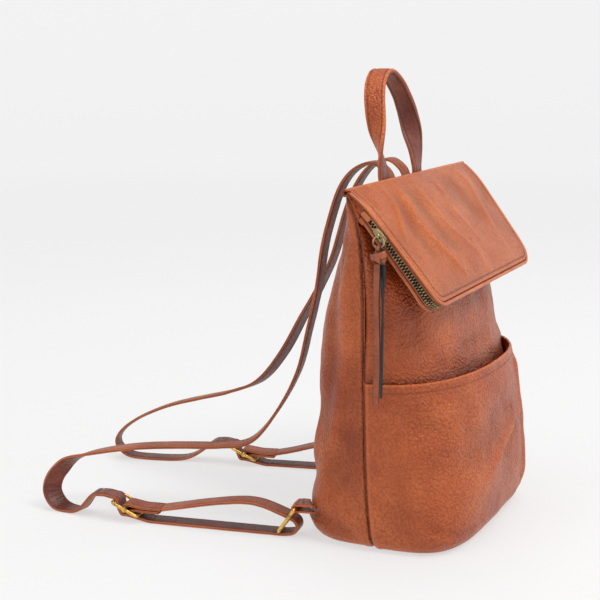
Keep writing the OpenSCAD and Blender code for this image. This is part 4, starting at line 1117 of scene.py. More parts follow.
# zip tapes, woven, with a ridge beside the teeth
for name, k, node in (("tape_upper", -1, "zip_tape_upper"), ("tape_lower", 1, "zip_tape_lower")):
    E = edge_path(3.9, 24.0, 46)
    far = -2.2 + 0 * E[:, 0] if k < 0 else under_n(E[:, 0]) + 2.2
    near = under_n(E[:, 0]) / 2 - k * 0.75
    cols = np.linspace(0, 1, 9)
    n = far[:, None] * (1 - cols) + near[:, None] * cols
    bow = 0.35 * np.sin(PI * cols) + 0.35 * step01((cols - 0.8) / 0.2)
    rib = 0.04 * np.sin(np.arange(len(E)) * 2.1)[:, None]
    O = flap_pt(E[:, :1] + (bow + 0.6 + rib) * np.sin(E[:, 2:3]), E[:, 1:2] - (bow + 0.6 + rib)
        * np.cos(E[:, 2:3]), n)
    I = flap_pt(E[:, :1] + bow * np.sin(E[:, 2:3]), E[:, 1:2] - bow * np.cos(E[:, 2:3]), n)
    v, f, w = shell(O, I)
    piece("zip_" + name, v, f, TAPE, "flap", (node,), w)

# teeth: each a cast block that clips on the tape, with a waist and a nub that meets the other row
ZIP_FROM, TEETH_I, PITCH = 28.0, 1.9, 2.6
SIDE_L = (CORNER_S + (FLAP_R - TEETH_I) * math.sin(LEAN) - ZIP_FROM) / math.cos(LEAN)
TURN_L = (FLAP_R - TEETH_I) * (PI / 2 - LEAN)
ZIP_L = 2 * SIDE_L + 2 * TURN_L - 2 * CORNER_W


def station(d):
    if d > ZIP_L / 2:
        s, w, a = station(ZIP_L - d)
        return s, -w, PI - a
    if d < SIDE_L:
        s = ZIP_FROM + d * math.cos(LEAN)
        return s, -(HALF_W - TAN_LEAN * s - TEETH_I / math.cos(LEAN)), LEAN
    if d < SIDE_L + TURN_L:
        a = LEAN + (d - SIDE_L) / (FLAP_R - TEETH_I)
        return CORNER_S + (FLAP_R - TEETH_I) * math.sin(a), CORNER_W - (FLAP_R - TEETH_I) * math.cos(a), a
    return FLAP_L - TEETH_I, CORNER_W + d - SIDE_L - TURN_L, PI / 2


def edge_basis(e, n):
    """Origin, outward, along and up directions on the flap's edge."""
    s, w, t = e
    a = float(dip(s))
    fwd, up = np.array([0, -math.cos(a), -math.sin(a)]), np.array([0, -math.sin(a), math.cos(a)])
    out = fwd * math.sin(t) - np.array([math.cos(t), 0, 0])
    return flap_pt(s, w, n), out, np.cross(up, out), up


def tooth_shape():
    """Rings of a tooth from its clip to its nub: [out half, along half, up], in the edge's frame."""
    rings = [(0.72, 0.46, -0.95), (0.98, 0.60, -0.75), (1.0, 0.62, -0.1), (0.86, 0.50, 0.25),
        (0.98, 0.58, 0.7), (0.92, 0.52, 1.15), (0.5, 0.3, 1.42)]
    V = []
    for x, y, z in rings:
        for sx, sy in ((-1, -0.62), (-0.7, -1), (0.7, -1), (1, -0.62), (1, 0.62), (0.7, 1), (-0.7, 1),
                (-1, 0.62)):
            V.append([x * sx, y * sy, z])
    F = quads(len(rings), 8, wrap=True).tolist() + [[7, 6, 5, 4, 3, 2, 1, 0],
        [len(V) - 8 + j for j in range(8)]]
    return np.array(V), F


tv, tf = tooth_shape()
N_TEETH = int((ZIP_L - 6) // PITCH)
for name, k, node in (("zip_teeth_top_row", -1, "zip_teeth_upper"),
        ("zip_teeth_low_row", 1, "zip_teeth_lower")):
    V, F = [], []
    for j in range(N_TEETH):
        e = station(3 + (PITCH / 2 if k > 0 else 0) + j * PITCH)
        o, x, y, z = edge_basis(e, float(under_n(e[0])) / 2 - k * 1.5)
        q = tv * [1, 1, k] if k > 0 else tv * [1, 1, -1]
        F += [np.array(t) + len(V) * len(tv) for t in tf]
        V.append(o + q[:, :1] * x + q[:, 1:2] * y + q[:, 2:] * z)
    piece(name, np.concatenate(V), F, ZIP_BRASS, "flap", (node,), smooth=False)

# leather tabs that close the zip at both ends, and the soft leather that folds in beside them
for side in (-1, 1):
    s = np.linspace(1.5, 27.5, 22)[:, None]
    q = np.linspace(0, 1, 13)[None]
    depth = 2.2 + 8.6 * step01((s - 0.5) / 25)
    tuck = 2.6 * np.sin(PI * q) * step01((s + 2) / 18) + 1.1
    half = HALF_W - TAN_LEAN * s - tuck
    ridge = 0.35 * noise(np.stack([s + 0 * q, 8 * q + 0 * s, 0 * s * q], axis=-1), 5, 7)
    n = -1.6 - depth * q
    O = flap_pt(s + 0 * q, side * (half + ridge), n)
    I = flap_pt(s + 0 * q, side * (half + ridge - 1.5), n)
    # painted shade down the middle where the fold draws in, lighter at its top and bottom
    v, f, w = shell(O, I, -0.25 + 0.5 * np.abs(2 * q - 1) * np.ones_like(s), 0.35)
    piece("flap_side_fold_" + ("left" if side < 0 else "right"), v, f, TAN, "flap", (), w)

V, F, Wt = [], [], []
for k in (-1, 1):
    e = (24.0, k * (HALF_W - TAN_LEAN * 24 - 1.6), LEAN if k < 0 else PI - LEAN)
    o, x, y, z = edge_basis(e, float(under_n(24.0)) / 2)
    t = np.linspace(-4.6, 4.6, 13)
    ring = []
    for d in t:
        g = math.sqrt(max(0.05, 1 - (abs(d) / 4.9) ** 4))
        th = circle(14)
        cx, cz = signed_power(np.cos(th), 0.6), signed_power(np.sin(th), 0.7)
        ring.append(o + d * y + (0.1 + 1.5 * g * cx)[:, None] * x + (2.5 * g * cz)[:, None] * z)
    v, f = tube(np.array(ring))
    V.append(v); F += [a + sum(len(b) for b in V[:-1]) for a in f]
    Wt.append(0.45 * np.ones(len(v)))
piece("zip_end_leather", np.concatenate(V), F, EDGE_TAN, "flap", ("zip_end_tabs",),
    np.concatenate(Wt))


# ---- zip slider, ring, knot and thongs -------------------------------------------------------------------

RING_AT = np.array([-144.2617, -17.3819, 259.5609])
KNOT_AT = RING_AT - [0, 0, 15.4]
o, x, y, z = edge_basis(station(14.0), float(under_n(station(14.0)[0])) / 2)


def to_slider(q):
    q = np.asarray(q, float)
    return o + q[..., :1] * x + q[..., 1:2] * y + q[..., 2:] * z


def plate(levels_x, shape, bow=0.0):
    """A plate across the slider: the same outline at several depths, drawn in at its rims."""
    R = []
    for depth, k in levels_x:
        p = shape * k
        R.append(np.column_stack([depth + bow * (1 - (p[:, 0] / 6.5) ** 2), p]))
    return to_slider(np.array(R))


t = circle(40)
sh = np.stack([6.5 * signed_power(np.cos(t), 0.55), 3.0 * signed_power(np.sin(t), 0.6)], axis=1)
sh[:, 1] *= 0.80 + 0.20 * step01((sh[:, 0] + 5) / 9) - 0.14 * bell(sh[:, 0], 0.4, 1.8)
parts = []
for lv, bow in ((((1.5, 0.88), (1.62, 0.97), (1.9, 1.0), (2.3, 1.0), (2.55, 0.96), (2.68, 0.86)), 0.15),
                (((-3.05, 0.86), (-2.95, 0.96), (-2.6, 1.0), (-2.35, 0.97), (-2.25, 0.88)), 0.0)):
    v, f = tube(plate(lv, sh, bow))
    parts.append((v, f, 0))
for zz in (-1, 1):  # the turned lips that hold the tape
    line = to_slider(np.array([[1.6 - 0.3 * math.cos(q * PI), -5.2 + 10.6 * q,
        zz * (2.35 + 0.35 * q)] for q in np.linspace(0, 1, 14)]))
    v, f = tube(sweep(line, np.tile(x, (14, 1)), round_section(0.42, 8) * [1.5, 1]))
    parts.append((v, f, 0))
line = to_slider(np.array([[-2.7, 5.4, 0], [-1.2, 5.6, 0], [0.6, 5.6, 0], [2.0, 5.4, 0]]))
v, f = tube(sweep(spline(line, 4), np.tile(y, (13, 1)), round_section(0.72, 10) * [1, 0.55]))
parts.append((v, f, 0))
t = circle(36)
lug = RING_AT + np.array([0.35, 0, 0]) + np.stack([1.95 * np.cos(t), 0 * t, 1.75 * np.sin(t)], axis=1)
v, f = tube(sweep(lug, np.array([0, 1.0, 0]), round_section(0.62, 10) * [1.35, 1], closed=True), loop=True)
parts.append((v, f, 0))
for s in (-1, 1):  # the strap of metal that carries the lug
    line = to_slider(np.array([[2.5, s * 4.6, 0], [2.95, s * 3.4, 0], [3.15, s * 2.1, 0], [3.0, s * 0.6, 0]]))
    v, f = tube(sweep(spline(line, 4), np.tile(z, (13, 1)), round_section(0.95, 10) * [1, 0.45]))
    parts.append((v, f, 0))
v, f, w = gather(parts)
piece("zip_slider_brass", v, f, ZIP_BRASS, "zip_slider", ("zip_slider",), w)

t = circle(64)
ring = RING_AT - [0, 0, 4.4] + np.stack([0 * t, 4.4 * np.sin(t), 4.4 * np.cos(t)], axis=1)
sec = round_section(0.8, 14)[None] * (1 + 0.05 * np.cos(3 * t))[:, None, None]
v, f = tube(sweep(ring, np.array([1.0, 0, 0]), sec, closed=True), loop=True)
piece("pull_ring_brass", v, f, ZIP_BRASS, "pull_ring", ("pull_ring",))

FLAT = np.array([[-0.5, -0.32], [-0.44, -0.5], [-0.2, -0.5], [0.2, -0.5], [0.44, -0.5], [0.5, -0.32],
                 [0.5, 0.32], [0.44, 0.5], [0.2, 0.5], [-0.2, 0.5], [-0.44, 0.5], [-0.5, 0.32]])
FLAT_INDEX = [1, 0, 0, 0, 1, 1, 1, 0, 0, 0, 1, 1]


def band(P, A, width, thick, closed, back=0):
    """A flat thong with black painted edges; back=1 paints its inner face too."""
    G = sweep(P, A, FLAT * [width, thick], closed)
    v, f = tube(G, loop=closed)
    idx = [FLAT_INDEX[k % 12] if k < (len(P) - (0 if closed else 1)) * 12 else 1 for k in range(len(f))]
    if closed:
        idx = [FLAT_INDEX[k % 12] for k in range(len(f))]
    if back:
        idx = [1 if 1 <= k % 12 <= 3 and k < (len(P) - 1) * 12 else i for k, i in enumerate(idx)]
    return v, f, idx


parts, index = [], []
t = circle(40)
for (ax, ay, tilt_y, tilt_x, dz, width, A) in (
        (3.9, 5.3, 0.20, -0.42, 1.2, 5.8, [0, 0.35, 1.0]),
        (3.5, 4.8, -0.35, 0.52, -1.6, 5.4, [0, -0.4, 1.0])):
    P = KNOT_AT + np.stack([ax * np.cos(t), ay * np.sin(t), dz + tilt_y * ax * np.cos(t) + tilt_x * ay
        * np.sin(t) * 0.6], axis=1)
    v, f, ix = band(P, np.array(A), width, 1.5, True)
    parts.append((v, f, 0.2)); index += ix
P = KNOT_AT + np.stack([3.9 * np.cos(t) - 0.2, 1.4 * np.sin(t) - 1.0, 4.1 * np.sin(t + 0.3) - 0.2], axis=1)
v, f, ix = band(P, np.array([0.1, 1.0, 0.45]), 4.6, 1.4, True)
parts.append((v, f, 0.3)); index += ix
P = KNOT_AT + np.array([0, 0, 6.0]) + np.stack([2.1 * np.cos(t), 0 * t, 2.1 * np.sin(t)], axis=1)
v, f, ix = band(P, np.array([0, 1.0, 0]), 3.6, 1.2, True)
parts.append((v, f, 0.1)); index += ix
v, f, w = gather(parts)
index = np.array(index)
piece("pull_knot_leather", v, f, [STRAP_TAN, BLACK_EDGE], "pull_thong", ("pull_knot",), w,
    index)

top, low = KNOT_AT[2] - 5.4, KNOT_AT[2] - 5.4 - 108
for k in (0, 1):
    ox, oy = KNOT_AT[0] + (1.3 if k else -1), KNOT_AT[1] + (-2.8 if k else 0.6)
    pts = [[ox, oy, top + 0.4],
           [ox + (0.6 if k else -0.5), oy, top - 14],
           [ox + (0.2 if k else 0.5), oy, top + 0.45 * (low - top)],
           [ox + (1 if k else -0.2), oy, top + 0.8 * (low - top)],
           [ox, oy, low + (5 if k else 0)]]
    P = resample(spline(pts, 12), 1.6)
    q = np.linspace(0, 1, len(P))
    P[:, 1] += 0.45 * np.sin(q * 7 + k * 2) * step01(q * 3)
    turn = 0.16 * np.sin(q * 5 + k) * step01(q * 4) + (1.1 * step01(q * 3) if k else 0)
    A = np.stack([np.sin(turn), np.cos(turn), 0 * q], axis=1)
    width = 5.0 + 0.15 * np.sin(q * 9 + k)
    G = sweep(P, A, FLAT[None] * np.stack([width, 1.45 + 0 * q], axis=1)[:, None])
    G[-3:, :, 2] -= ((G[-3:, :, 1] - oy) * 0.16) * np.array([0.3, 0.6, 1.0])[:, None]
    v, f = tube(G)
    idx = [FLAT_INDEX[j % 12] if j < (len(P) - 1) * 12 else 1 for j in range(len(f))]
    if k:
        idx = [1 if (1 <= j % 12 <= 3 and j < (len(P) - 1) * 12) else i for j, i in enumerate(idx)]
    w = np.concatenate([0.18 * noise(G, 6, 8 + k).ravel(), [0, 0]])
    tail = piece("pull_thong_" + str(k + 1), v, f, [STRAP_TAN, BLACK_EDGE], "pull_thong",
        ("pull_tails",), w, idx)


# ---- straps ----------------------------------------------------------------------------------------------

def strap_section(w, t, layers=True, crown_up=0.05):
    """Half the points are the outer face, half the inner; the edges show two layers with a groove between."""
    xs = [w / 2 - 0.55, w / 2 - 1.3, w / 2 - 1.8, w / 2 - 2.25, w / 2 - 2.7, w / 2 - 3.4, w / 4, w / 10]
    hs = [t / 2 - 0.06, t / 2, t / 2 - 0.03, t / 2 - 0.17, t / 2 - 0.03, t / 2, t / 2 + crown_up,
        t / 2 + crown_up * 1.4]
    right = list(zip(xs, hs))
    face = right[::-1]
    edge = [(w / 2 - 0.14, t * 0.38), (w / 2, t * 0.25), (w / 2 - 0.04, t * 0.12),
        (w / 2 - (0.42 if layers else 0.05), 0.0),
            (w / 2 - 0.04, -t * 0.12), (w / 2, -t * 0.25), (w / 2 - 0.14, -t * 0.38)]
    half = face + edge + [(a, -b) for a, b in right]
    S = np.array(half + [(-a, b) for a, b in half[::-1]])
    middle = (S[:, 1] + np.roll(S[:, 1], -1)) / 2
    kind = [0 if y > t * 0.4 else (1 if y < -t * 0.4 else 2) for y in middle]
    groove = np.where(np.abs(S[:, 1]) < 0.01, 1.0, 0.0) * (1 if layers else 0)
    # lighter at the edges; painted shade in the groove between the two layers and in the stitch groove
    wear_and_painted_light = np.where(np.abs(S[:, 0]) > w / 2 - 0.35, 0.35, 0.0) - groove \
        - 0.35 * bell(np.abs(S[:, 0]), w / 2 - 2.25, 0.25)
    return S, kind, wear_and_painted_light


def strap(name, P, A, w, t, mats, body, nodes, crumple=0.5, blend=None, seed=1,
        stitch=True, step=3.3, both=True, ends=1.5):
    """A stitched strap along a path; mats are for its out face, its in face and its edges."""
    S, kind, wear_and_painted_light = strap_section(w, t)
    D = unit(np.gradient(P, axis=0))
    K = np.gradient(D, axis=0) / np.maximum(np.linalg.norm(np.gradient(P, axis=0), axis=1), 1e-6)[:, None]
    _, A1, O1 = frames(P, A)
    bend = (K * O1).sum(1)
    s = np.concatenate([[0], np.cumsum(np.linalg.norm(np.diff(P, axis=0), axis=1))])
    ripple = np.sin(s / 4.6 * 2 * PI + 1.3 * noise(np.stack([s, 0 * s, 0 * s], axis=1), 11, seed))
    sec = np.repeat(S[None], len(P), axis=0)
    up = step01((np.abs(bend) - 0.022) / 0.03)
    pushed = crumple * up * (0.5 + 0.5 * ripple) * 0.55
    inner_out = (bend > 0)
    face_out = S[:, 1] > t * 0.4
    face_in = S[:, 1] < -t * 0.4
    middle = np.clip(1 - (np.abs(S[:, 0]) / (w / 2)) ** 4, 0, 1)
    sec[:, :, 1] -= np.where(inner_out[:, None] & face_out[None], pushed[:, None] * middle[None], 0)
    sec[:, :, 1] += np.where(~inner_out[:, None] & face_in[None], pushed[:, None] * middle[None], 0)
    G = sweep(P, A, sec)
    nz = 0.10 * noise(G, 13, seed + 3) + 0.05 * noise(G, 5, seed + 4)
    G = G + O1[:, None] * (nz * np.sign(S[:, 1])[None] * (face_out | face_in)[None])[..., None]
    v, f = tube(G)
    m = len(S)
    idx = [kind[j % m] if j < (len(P) - 1) * m else 2 for j in range(len(f))]
    # painted shade where the strap crumples in a bend
    wv = np.broadcast_to(wear_and_painted_light[None], G.shape[:2]) - 0.6 * (pushed / max(crumple, 0.01))[:,
        None] * middle[None] * 0.6 + 0.25 * noise(G, 30, seed + 7)
    ob = piece(name, v, f, mats, None if blend else body, nodes, np.concatenate([wv.ravel(), [0, 0]]),
        idx)
    made = [ob]
    if stitch:
        lines = []
        for side in (-1, 1):
            for face in ((1, -1) if both else (1,)):
                Q = P + A1 * side * (w / 2 - 2.25) + O1 * face * (t / 2 - 0.12)
                lines.append(stitch_line(Q, O1 * face, step, step * 0.68, 0.55, 0.22, ends, ends))
        v, f, wq = gather([l for l in lines if len(l[0])])
        made.append(piece(name + "_stitches", v, f, THREAD, None if blend else body, (), wq,
            flip=False))
    if blend:
        for q in made:
            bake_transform(q)
    return ob


SPIN = [math.radians(7.8), math.radians(11.5)]
SIDES, REACH, CORNER_Y = [-1, 1], [148.0, 130.0], 71.0
LOW_BAR, HIGH_BAR = np.array([11.7, 4.9]), np.array([-2.0, 25.0])
TILT, BAR_GAP, MID_Z, WRAP = math.radians(25), 12.4, 11.7, BAR_R + STRAP_T / 2 + 0.2
UNIT_T = np.array([math.cos(TILT), math.sin(TILT)])


def in_frame(k, side, q, z):
    """Local side, along and height to the row frame."""
    side, q, z = np.broadcast_arrays(np.asarray(side, float), np.asarray(q, float), np.asarray(z, float))
    c, s = math.cos(SPIN[k]), math.sin(SPIN[k])
    return np.stack([SIDES[k] * 98 + side * c - q * s, CORNER_Y + side * s + q * c, z], axis=-1)


def local_x(k):
    return np.array([math.cos(SPIN[k]), math.sin(SPIN[k]), 0])


# the long straps: x, y and z of the centre line, and the way across it in degrees
ROUTES = [
    [[-19, 0, 262, 0], [-19, 0, 271, 0], [-19, 0, 279, 0], [-19, 18.5, 287, 0], [-19, 22.5, 297, 0],
     [-19, 34, 304, 0], [-19, 50, 298, 0], [-20, 62, 283, 0], [-20, 71, 258, 1], [-21, 77.5, 232, 2],
     [-24, 82, 195, 4], [-29, 88, 161, 6], [-35, 96, 123, 9], [-41, 114, 87, 14], [-48, 135, 61, 19],
     [-58, 161, 56, 20], [-70, 201, 54.5, 18], [-84, 238, 52, 6], [-103, 275, 45, -18],
     [-115, 290, 33, -33], [-119.5, 295, 18, -38], [-121, 288, 6, -34], [-120.5, 275, 1.8, -20],
     [-121.5, 263, 4.5, -4]],
    [[19, 0, 262, 0], [19, 0, 271, 0], [19, 0, 279, 0], [19, 18.5, 287, 0], [19, 22.5, 297, 0],
     [19, 34, 304, 0], [19, 50, 298, 0], [20, 63, 282, 0], [21, 74, 257, 0], [22, 86, 218, 0],
     [22, 100, 188, -3], [22, 116, 160, -7], [23, 136, 125, -12], [25, 160, 97, -12], [26, 190, 83, -9],
     [27, 220, 74, -6], [29, 258, 62, -2], [33, 294, 45, 4], [38, 317, 28, 12], [41, 323, 14, 16],
     [44, 312, 3.6, 15], [49, 290, 1.6, 12], [57, 262, 2, 10], [62, 247, 7, 10]]]


def ribbon_points(k, pts, step=1.3, rounds=2):
    p = softened(resample(np.asarray(pts, float), step), rounds)
    return in_frame(k, 0, p[:, 0], p[:, 1])


def rounded_frame(k, a, b, half, radius, r, flat=0.94):
    """Bent wire round a rectangle between two bars, with its corners bent and not mitred."""
    a, b = np.asarray(a, float), np.asarray(b, float)
    L = np.linalg.norm(b - a)
    d = (b - a) / L
    pts = []
    for cx, cy, a0 in ((half, L, 0), (-half, L, 90), (-half, 0, 180), (half, 0, 270)):
        ccx = cx - math.copysign(radius, cx)
        ccy = cy - radius if cy > 0 else cy + radius
        for t in np.radians(np.linspace(a0, a0 + 90, 9)):
            pts.append([ccx + radius * math.cos(t), ccy + radius * math.sin(t)])
    pts = np.array(pts)
    pts = np.concatenate([pts, pts[:1]])
    p = resample(pts, 1.0)[:-1]
    q = a[None] + p[:, 1:2] * d[None]
    P = in_frame(k, p[:, 0], q[:, 0], q[:, 1])
    up = in_frame(k, 0, -d[1], d[0]) - in_frame(k, 0, 0, 0)
    G = sweep(P, up, round_section(r, 14) * [flat, 1.0], closed=True)
    G = G + unit(G - P[:, None]) * (0.05 * noise(G, 4.0, 6 + k))[..., None]
    return tube(G, loop=True)


def bar_tube(k, p, half, r, swell=0.0):
    t = np.linspace(-1, 1, 25)
    P = in_frame(k, t * half, p[0], p[1])
    sec = round_section(1.0, 14)[None] * (r * (1 + swell * np.abs(t) ** 6))[:, None, None]
    return tube(sweep(P, np.array([0, 0, 1.0]), sec))


def rivet(k, side, p, r=2.4):
    prof = np.array([[-1.3, 0.72], [-1.2, 0.94], [-0.7, 1.0], [0.2, 1.0], [0.75, 0.93], [1.15, 0.7],
        [1.35, 0.35], [1.4, 0.05]])
    P = in_frame(k, side * (12.9 + prof[:, 0]), p[0], p[1])
    sec = round_section(1.0, 18)[None] * (r * prof[:, 1])[:, None, None]
    return tube(sweep(P, np.array([0, 0, 1.0]), sec))


for k, tag in ((0, "left"), (1, "right")):
    mid_b = np.array([REACH[k], MID_Z])
    far, nearb = mid_b + BAR_GAP * UNIT_T, mid_b - BAR_GAP * UNIT_T
    h = STRAP_T / 2
    # long strap
    pts = []
    for j, (px, py, pz, az) in enumerate(ROUTES[k]):
        if j < 3:
            py = float(back_at(pz, np.array([px]), -2 * SEAM - 1.8 - h - 0.5)[0])
        pts.append([px, py, max(h + 0.1, pz), az])
    e = far + [15.8, WRAP + 1.1]
    p0, p1 = in_frame(k, 0, e[0] + 6, 0), in_frame(k, 0, e[0], 0)
    pts += [[p0[0], p0[1], e[1] - 2, math.degrees(SPIN[k])], [p1[0], p1[1], e[1], math.degrees(SPIN[k])]]
    Q = resample(spline(pts, 16), 1.35)
    az = np.radians(Q[:, 3])
    A = np.stack([np.cos(az), np.sin(az), 0 * az], axis=1)
    end_y = in_frame(k, 0, far[0] + 4, 0)[1] * MM
    blend = ("bag", tag + "_adjuster", (0, 0.10, 0.13) if k == 0 else (0, 0.115, 0.15),
        (0, end_y - 0.010, 0.02))
    # its face inside the arch over the top takes the darker inner leather, with its painted shade
    strap(tag + "_strap_leather", Q[:, :3], A, STRAP_W, STRAP_T, [STRAP_INNER_PAINTED_SHADE, STRAP_TAN, EDGE_TAN], "bag",
        (tag + "_strap",), blend=blend,
          seed=100 + 10 * k, crumple=0.9)
    # the part that threads through the buckle
    pts = np.concatenate([[far + [15, WRAP + 1.2], far + [9, WRAP + 1.4]], arc2(far, WRAP, 72, 168, 16),
        [far + [-WRAP - 0.6, -5], mid_b + [4.6, -6.4]],
                          [mid_b + [0, -BAR_R - STRAP_T - h - 0.75], nearb + [0, -BAR_R - h - 0.35]],
                          [[nearb[0] - 9, h + 0.05], [nearb[0] - 12, h + 0.05]]])
    strap(tag + "_weave_leather", ribbon_points(k, pts), local_x(k), STRAP_W, STRAP_T,
        [STRAP_INNER_PAINTED_SHADE, STRAP_TAN, EDGE_TAN], tag + "_adjuster",
          (tag + "_strap_weave",), seed=130 + k, crumple=0.2)
    # the sewn fold round the middle bar
    pts = np.concatenate([[nearb + [-18, WRAP + 0.3], nearb + [-3, WRAP + 0.3]], [nearb + [3, WRAP + 0.8]],
        arc2(mid_b, WRAP, 262, 440, 26),
                          [nearb + [4, WRAP + STRAP_T + 1.6], nearb + [-3, WRAP + STRAP_T + 0.5],
                          nearb + [-20, WRAP + STRAP_T + 0.5]]])
    P = ribbon_points(k, pts)
    strap(tag + "_fold_leather", P, local_x(k), STRAP_W, STRAP_T, [STRAP_TAN, STRAP_INNER_PAINTED_SHADE, EDGE_TAN],
        tag + "_adjuster", (tag + "_strap_fold",),
          seed=150 + k, crumple=0.2, both=False)
    lines = []
    for q in (-14.5, -18.0):
        c = nearb + [q, WRAP + STRAP_T + 0.5 + h - 0.06]
        line = in_frame(k, np.linspace(-STRAP_W / 2 + 1.6, STRAP_W / 2 - 1.6, 16), c[0], c[1])
        lines.append(stitch_line(line, np.tile([0, 0, 1.0], (16, 1)), 2.4, 1.8, 0.7, 0.4, 0.4, 0.4))
    stitching(tag + "_fold_cross_stitches", lines, tag + "_adjuster")
    # the adjusting loop, out to the ring and back along the floor
    a = nearb + [-20.3, WRAP + STRAP_T + 0.5]
    l = LOW_BAR
    m6 = a + 0.6 * (np.array([l[0] + 20, 26]) - a) + [0, 2.5]
    free = softened(resample(spline([a, a + [-16, 3.5], m6, [l[0] + 24, 26.6], [l[0] + 9, 22.5],
        [l[0] - 5, 17.5]], 10), 1.3), 90)
    pts = np.concatenate([free, arc2([l[0] - 9, 8.7], 6.4, 115, 250, 22),
                          [[l[0] - 3, h + 0.05], [l[0] + 20, h + 0.05], [nearb[0] - 12.3, h + 0.05]]])
    strap(tag + "_loop_leather", ribbon_points(k, pts, rounds=5), local_x(k), STRAP_W, STRAP_T,
        [STRAP_TAN, STRAP_INNER_PAINTED_SHADE, EDGE_TAN], "bag",
          (tag + "_strap_loop",), seed=170 + k, crumple=0.3,
          blend=("bag", tag + "_adjuster", tuple(in_frame(k, 0, 10, 0) * MM),
          tuple(in_frame(k, 0, nearb[0] - 14, 0) * MM)))
    # buckle and ring
    parts = []
    for v, f in [rounded_frame(k, nearb, far, 12.5, 2.6, 1.5), bar_tube(k, mid_b, 12.3, 1.42, 0.10),
            rivet(k, 1, mid_b), rivet(k, -1, mid_b)]:
        parts.append((v, f, 0))
    v, f, w = gather(parts)
    piece(tag + "_buckle_brass", v, f, BRASS, tag + "_adjuster", (tag + "_buckle",), w)
    v, f = rounded_frame(k, LOW_BAR, HIGH_BAR, 12.5, 2.8, 1.5)
    piece(tag + "_ring_brass", v, f, BRASS, tag + "_ring", (tag + "_ring",))
    # the tab from the bag's bottom corner round the ring
    r, TAB_T = BAR_R + 0.3, 1.8
    xs = np.linspace(-STRAP_W / 2, STRAP_W / 2, 21)

    def root(px, pz):
        p = in_frame(k, px, -12, 0)
        return (back_at(pz, np.array([p[0]]), -0.8)[0] - CORNER_Y - px
            * math.sin(SPIN[k])) / math.cos(SPIN[k])

    def face(px, vv):
        hi, lo = HIGH_BAR + [-1, r + vv * TAB_T + 0.3], HIGH_BAR + [-4.2, -1.4 - vv * TAB_T]
        b0, b1 = root(px, hi[1]), root(px, lo[1])
        pts = np.concatenate([[[b0, hi[1]], [0.7 * b0 + 0.3 * hi[0], hi[1] + 0.1],
            [0.35 * b0 + 0.65 * hi[0], hi[1] + 0.1]],
                              arc2(HIGH_BAR, r + vv * TAB_T, 95, -105, 18),
                              [[0.4 * b1 + 0.6 * lo[0], lo[1]], [0.7 * b1 + 0.3 * lo[0], lo[1]],
                              [b1, lo[1]]]])
        return pts
    O = np.array([in_frame(k, px, *face(px, 1).T) for px in xs])
    I = np.array([in_frame(k, px, *face(px, 0).T) for px in xs])
    out = unit(O - I)
    O = O + out * (0.18 * noise(O, 7, 60 + k))[..., None]
    v, f, w = shell(O, I, 0.3 * noise(O, 9, 62), 0.5)
    piece(tag + "_tab_leather", v, f, TAN, "bag", (tag + "_strap_tab",), w)
    lines = [stitch_line(O[2:-2, j], out[2:-2, j], 2.6, 1.9, 0.6, 0.28, 0.5, 0.5) for j in (2, 3)]
    stitching(tag + "_tab_stitches", lines, "bag")


# ---- carry handle ----------------------------------------------------------------------------------------

def handle_section(w, t):
    """A padded strap with rolled, stitched edges."""
    r = 1.85
    face = [(0, t / 2 + 0.15), (w * 0.14, t / 2 + 0.12), (w * 0.24, t / 2), (w / 2 - 3.3, t / 2 - 0.2),
        (w / 2 - 2.75, t / 2 - 0.62),
            (w / 2 - 2.3, t / 2 - 0.5)]
    roll = [(w / 2 - r + r * math.cos(q), (t / 2) * math.sin(q)) for q in np.radians([75, 52, 30, 10, -10,
        -30, -52, -75])]
    half = face + roll + [(a, -b) for a, b in face[::-1]]
    full = half[:-1] + [(-a, b) for a, b in half[::-1]][:-1]
    S = np.array(full)
    m = len(S)
    kind = [0 if (S[j][1] + S[(j + 1) % m][1]) / 2 > -0.3 else 1 for j in range(m)]
    # lighter on the rolled edges, painted shade in the stitch grooves
    wear_and_painted_light = 0.6 * bell(np.abs(S[:, 0]), w / 2 - 0.9, 0.8) - 0.8 * bell(np.abs(S[:, 0]), w / 2 - 2.75, 0.35)
    return S, kind, wear_and_painted_light


half = [[-41, 0, 2.5, 0], [-41.5, 0.8, 10, 0], [-42.5, 3, 27, 25], [-40.5, 7, 46.8, 72], [-35, 11, 65.7, 90],
    [-25, 14.5, 80.1, 90],
        [-12, 16.5, 88.65, 90], [0, 17, 91.17, 90]]
pts = half + [[-a, b, c, 180 - d] for a, b, c, d in half[-2::-1]]
Q = resample(spline(pts, 14), 1.3)
P = Q[:, :3] + [0, 17, 288]
az = np.radians(Q[:, 3])
A = np.stack([np.cos(az), np.sin(az), 0 * az], axis=1)
S, kind, wear_and_painted_light = handle_section(18.0, 4.0)
D, A1, O1 = frames(P, A)
sec = np.repeat(S[None], len(P), axis=0)
G = sweep(P, A, sec)
rel = G - P[:, None]
G = G + unit(rel) * (0.14 * noise(G, 10, 201) + 0.07 * noise(G, 4, 202))[..., None]
v, f = tube(G)
m = len(S)
idx = [kind[j % m] if j < (len(P) - 1) * m else 0 for j in range(len(f))]
wv = np.broadcast_to(wear_and_painted_light[None], G.shape[:2]) + 0.25 * noise(G, 25, 204)
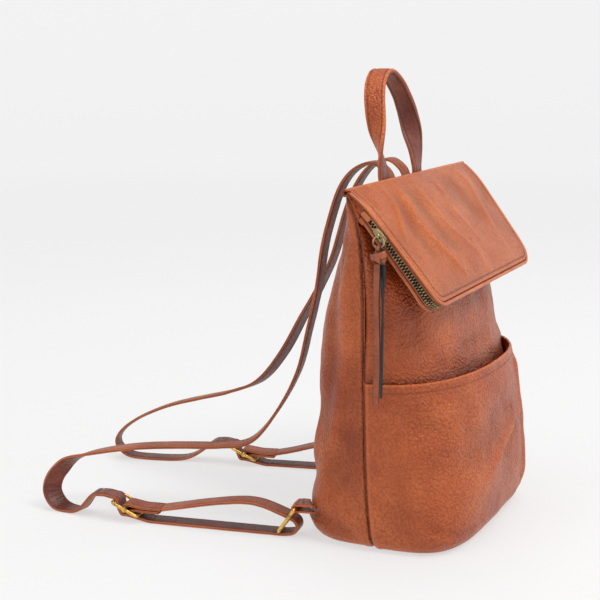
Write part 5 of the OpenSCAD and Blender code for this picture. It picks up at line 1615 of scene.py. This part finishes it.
# the underside takes the darker inner leather, with its painted shade
piece("handle_leather", v, f, [TAN, STRAP_INNER_PAINTED_SHADE], "handle", ("carry_handle",),
    np.concatenate([wv.ravel(), [0, 0]]), idx)
lines = []
for side in (-1, 1):
    for fc in (1, -1):
        Qs = P + A1 * side * (9 - 2.75) + O1 * fc * (2 - 0.5)
        lines.append(stitch_line(Qs, O1 * fc, 3.1, 2.2, 0.58, 0.26))
stitching("handle_stitches", lines, "handle")
parts = []
for s in (-1, 1):
    t = np.linspace(-9, 9, 22)
    R = np.stack([41 * s + t, 17 + 0 * t, 288 + 0 * t], axis=1)
    g = np.sqrt(np.maximum(0.12, 1 - (np.abs(t) / 9.2) ** 8))
    G = sweep(R, np.array([0, 0, 1.0]), round_section(1.78, 16)[None] * g[:, None, None])
    G = G + (G - R[:, None]) * (0.04 * noise(G, 3, 33))[..., None]
    v, f = tube(G)
    parts.append((v, f, 0.2))
v, f, w = gather(parts)
piece("handle_roll_leather", v, f, TAN, "handle", ("handle_rolls",), w)
parts, lines = [], []
for s in (-1, 1):
    ap = [[float(back_at(n, np.array([41.0]), -SEAM - 1.8 - SEAM - 2.3)[0]), n] for n in (264, 271, 276,
        281)] + [[17.2, 285.5]]
    p = resample(spline(ap, 8), 1.2)
    R = np.stack([41.0 * s + 0 * p[:, 0], p[:, 0], p[:, 1]], axis=1)
    S, kind, wear_and_painted_light = strap_section(18.0, 3.3, False, 0.15)
    G = sweep(R, np.array([1.0, 0, 0]), S)
    G = G + unit(G - R[:, None]) * (0.08 * noise(G, 6, 44))[..., None]
    v, f = tube(G)
    parts.append((v, f, np.concatenate([(np.broadcast_to(wear_and_painted_light[None], G.shape[:2]) + 0.2
        * noise(G, 9, 45)).ravel(), [0, 0]])))
    D, A1, O1 = frames(R, np.array([1.0, 0, 0]))
    sgn = 1 if O1[3][1] > 0 else -1
    F1 = R + O1 * sgn * 1.55
    n = len(R)
    for side in (-1, 1):
        lines.append(stitch_line((F1 + A1 * side * 6.4)[2:n - 3], (O1 * sgn)[2:n - 3], 2.8, 2.0, 0.6, 0.3,
            0.3, 0.3))
    for j in (2, n - 5):
        t = np.linspace(-6.4, 6.4, 12)[:, None]
        lines.append(stitch_line(F1[j] + A1[j] * t, np.tile(O1[j] * sgn, (12, 1)), 2.8, 2.0, 0.6, 0.3, 0.3,
            0.3))
v, f, w = gather(parts)
piece("handle_anchor_leather", v, f, TAN, "bag", ("handle_anchors",), w)
stitching("handle_anchor_stitches", lines, "bag")


# ---- finishes of the CAD nodes that stay ------------------------------------------------------------------

def finish_node(node, mat):
    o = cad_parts[node]
    o.data.materials.clear()
    o.data.materials.append(mat)


finish_node("fold_cord", TAPE)
finish_node("base_board", BOARD)

low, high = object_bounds()
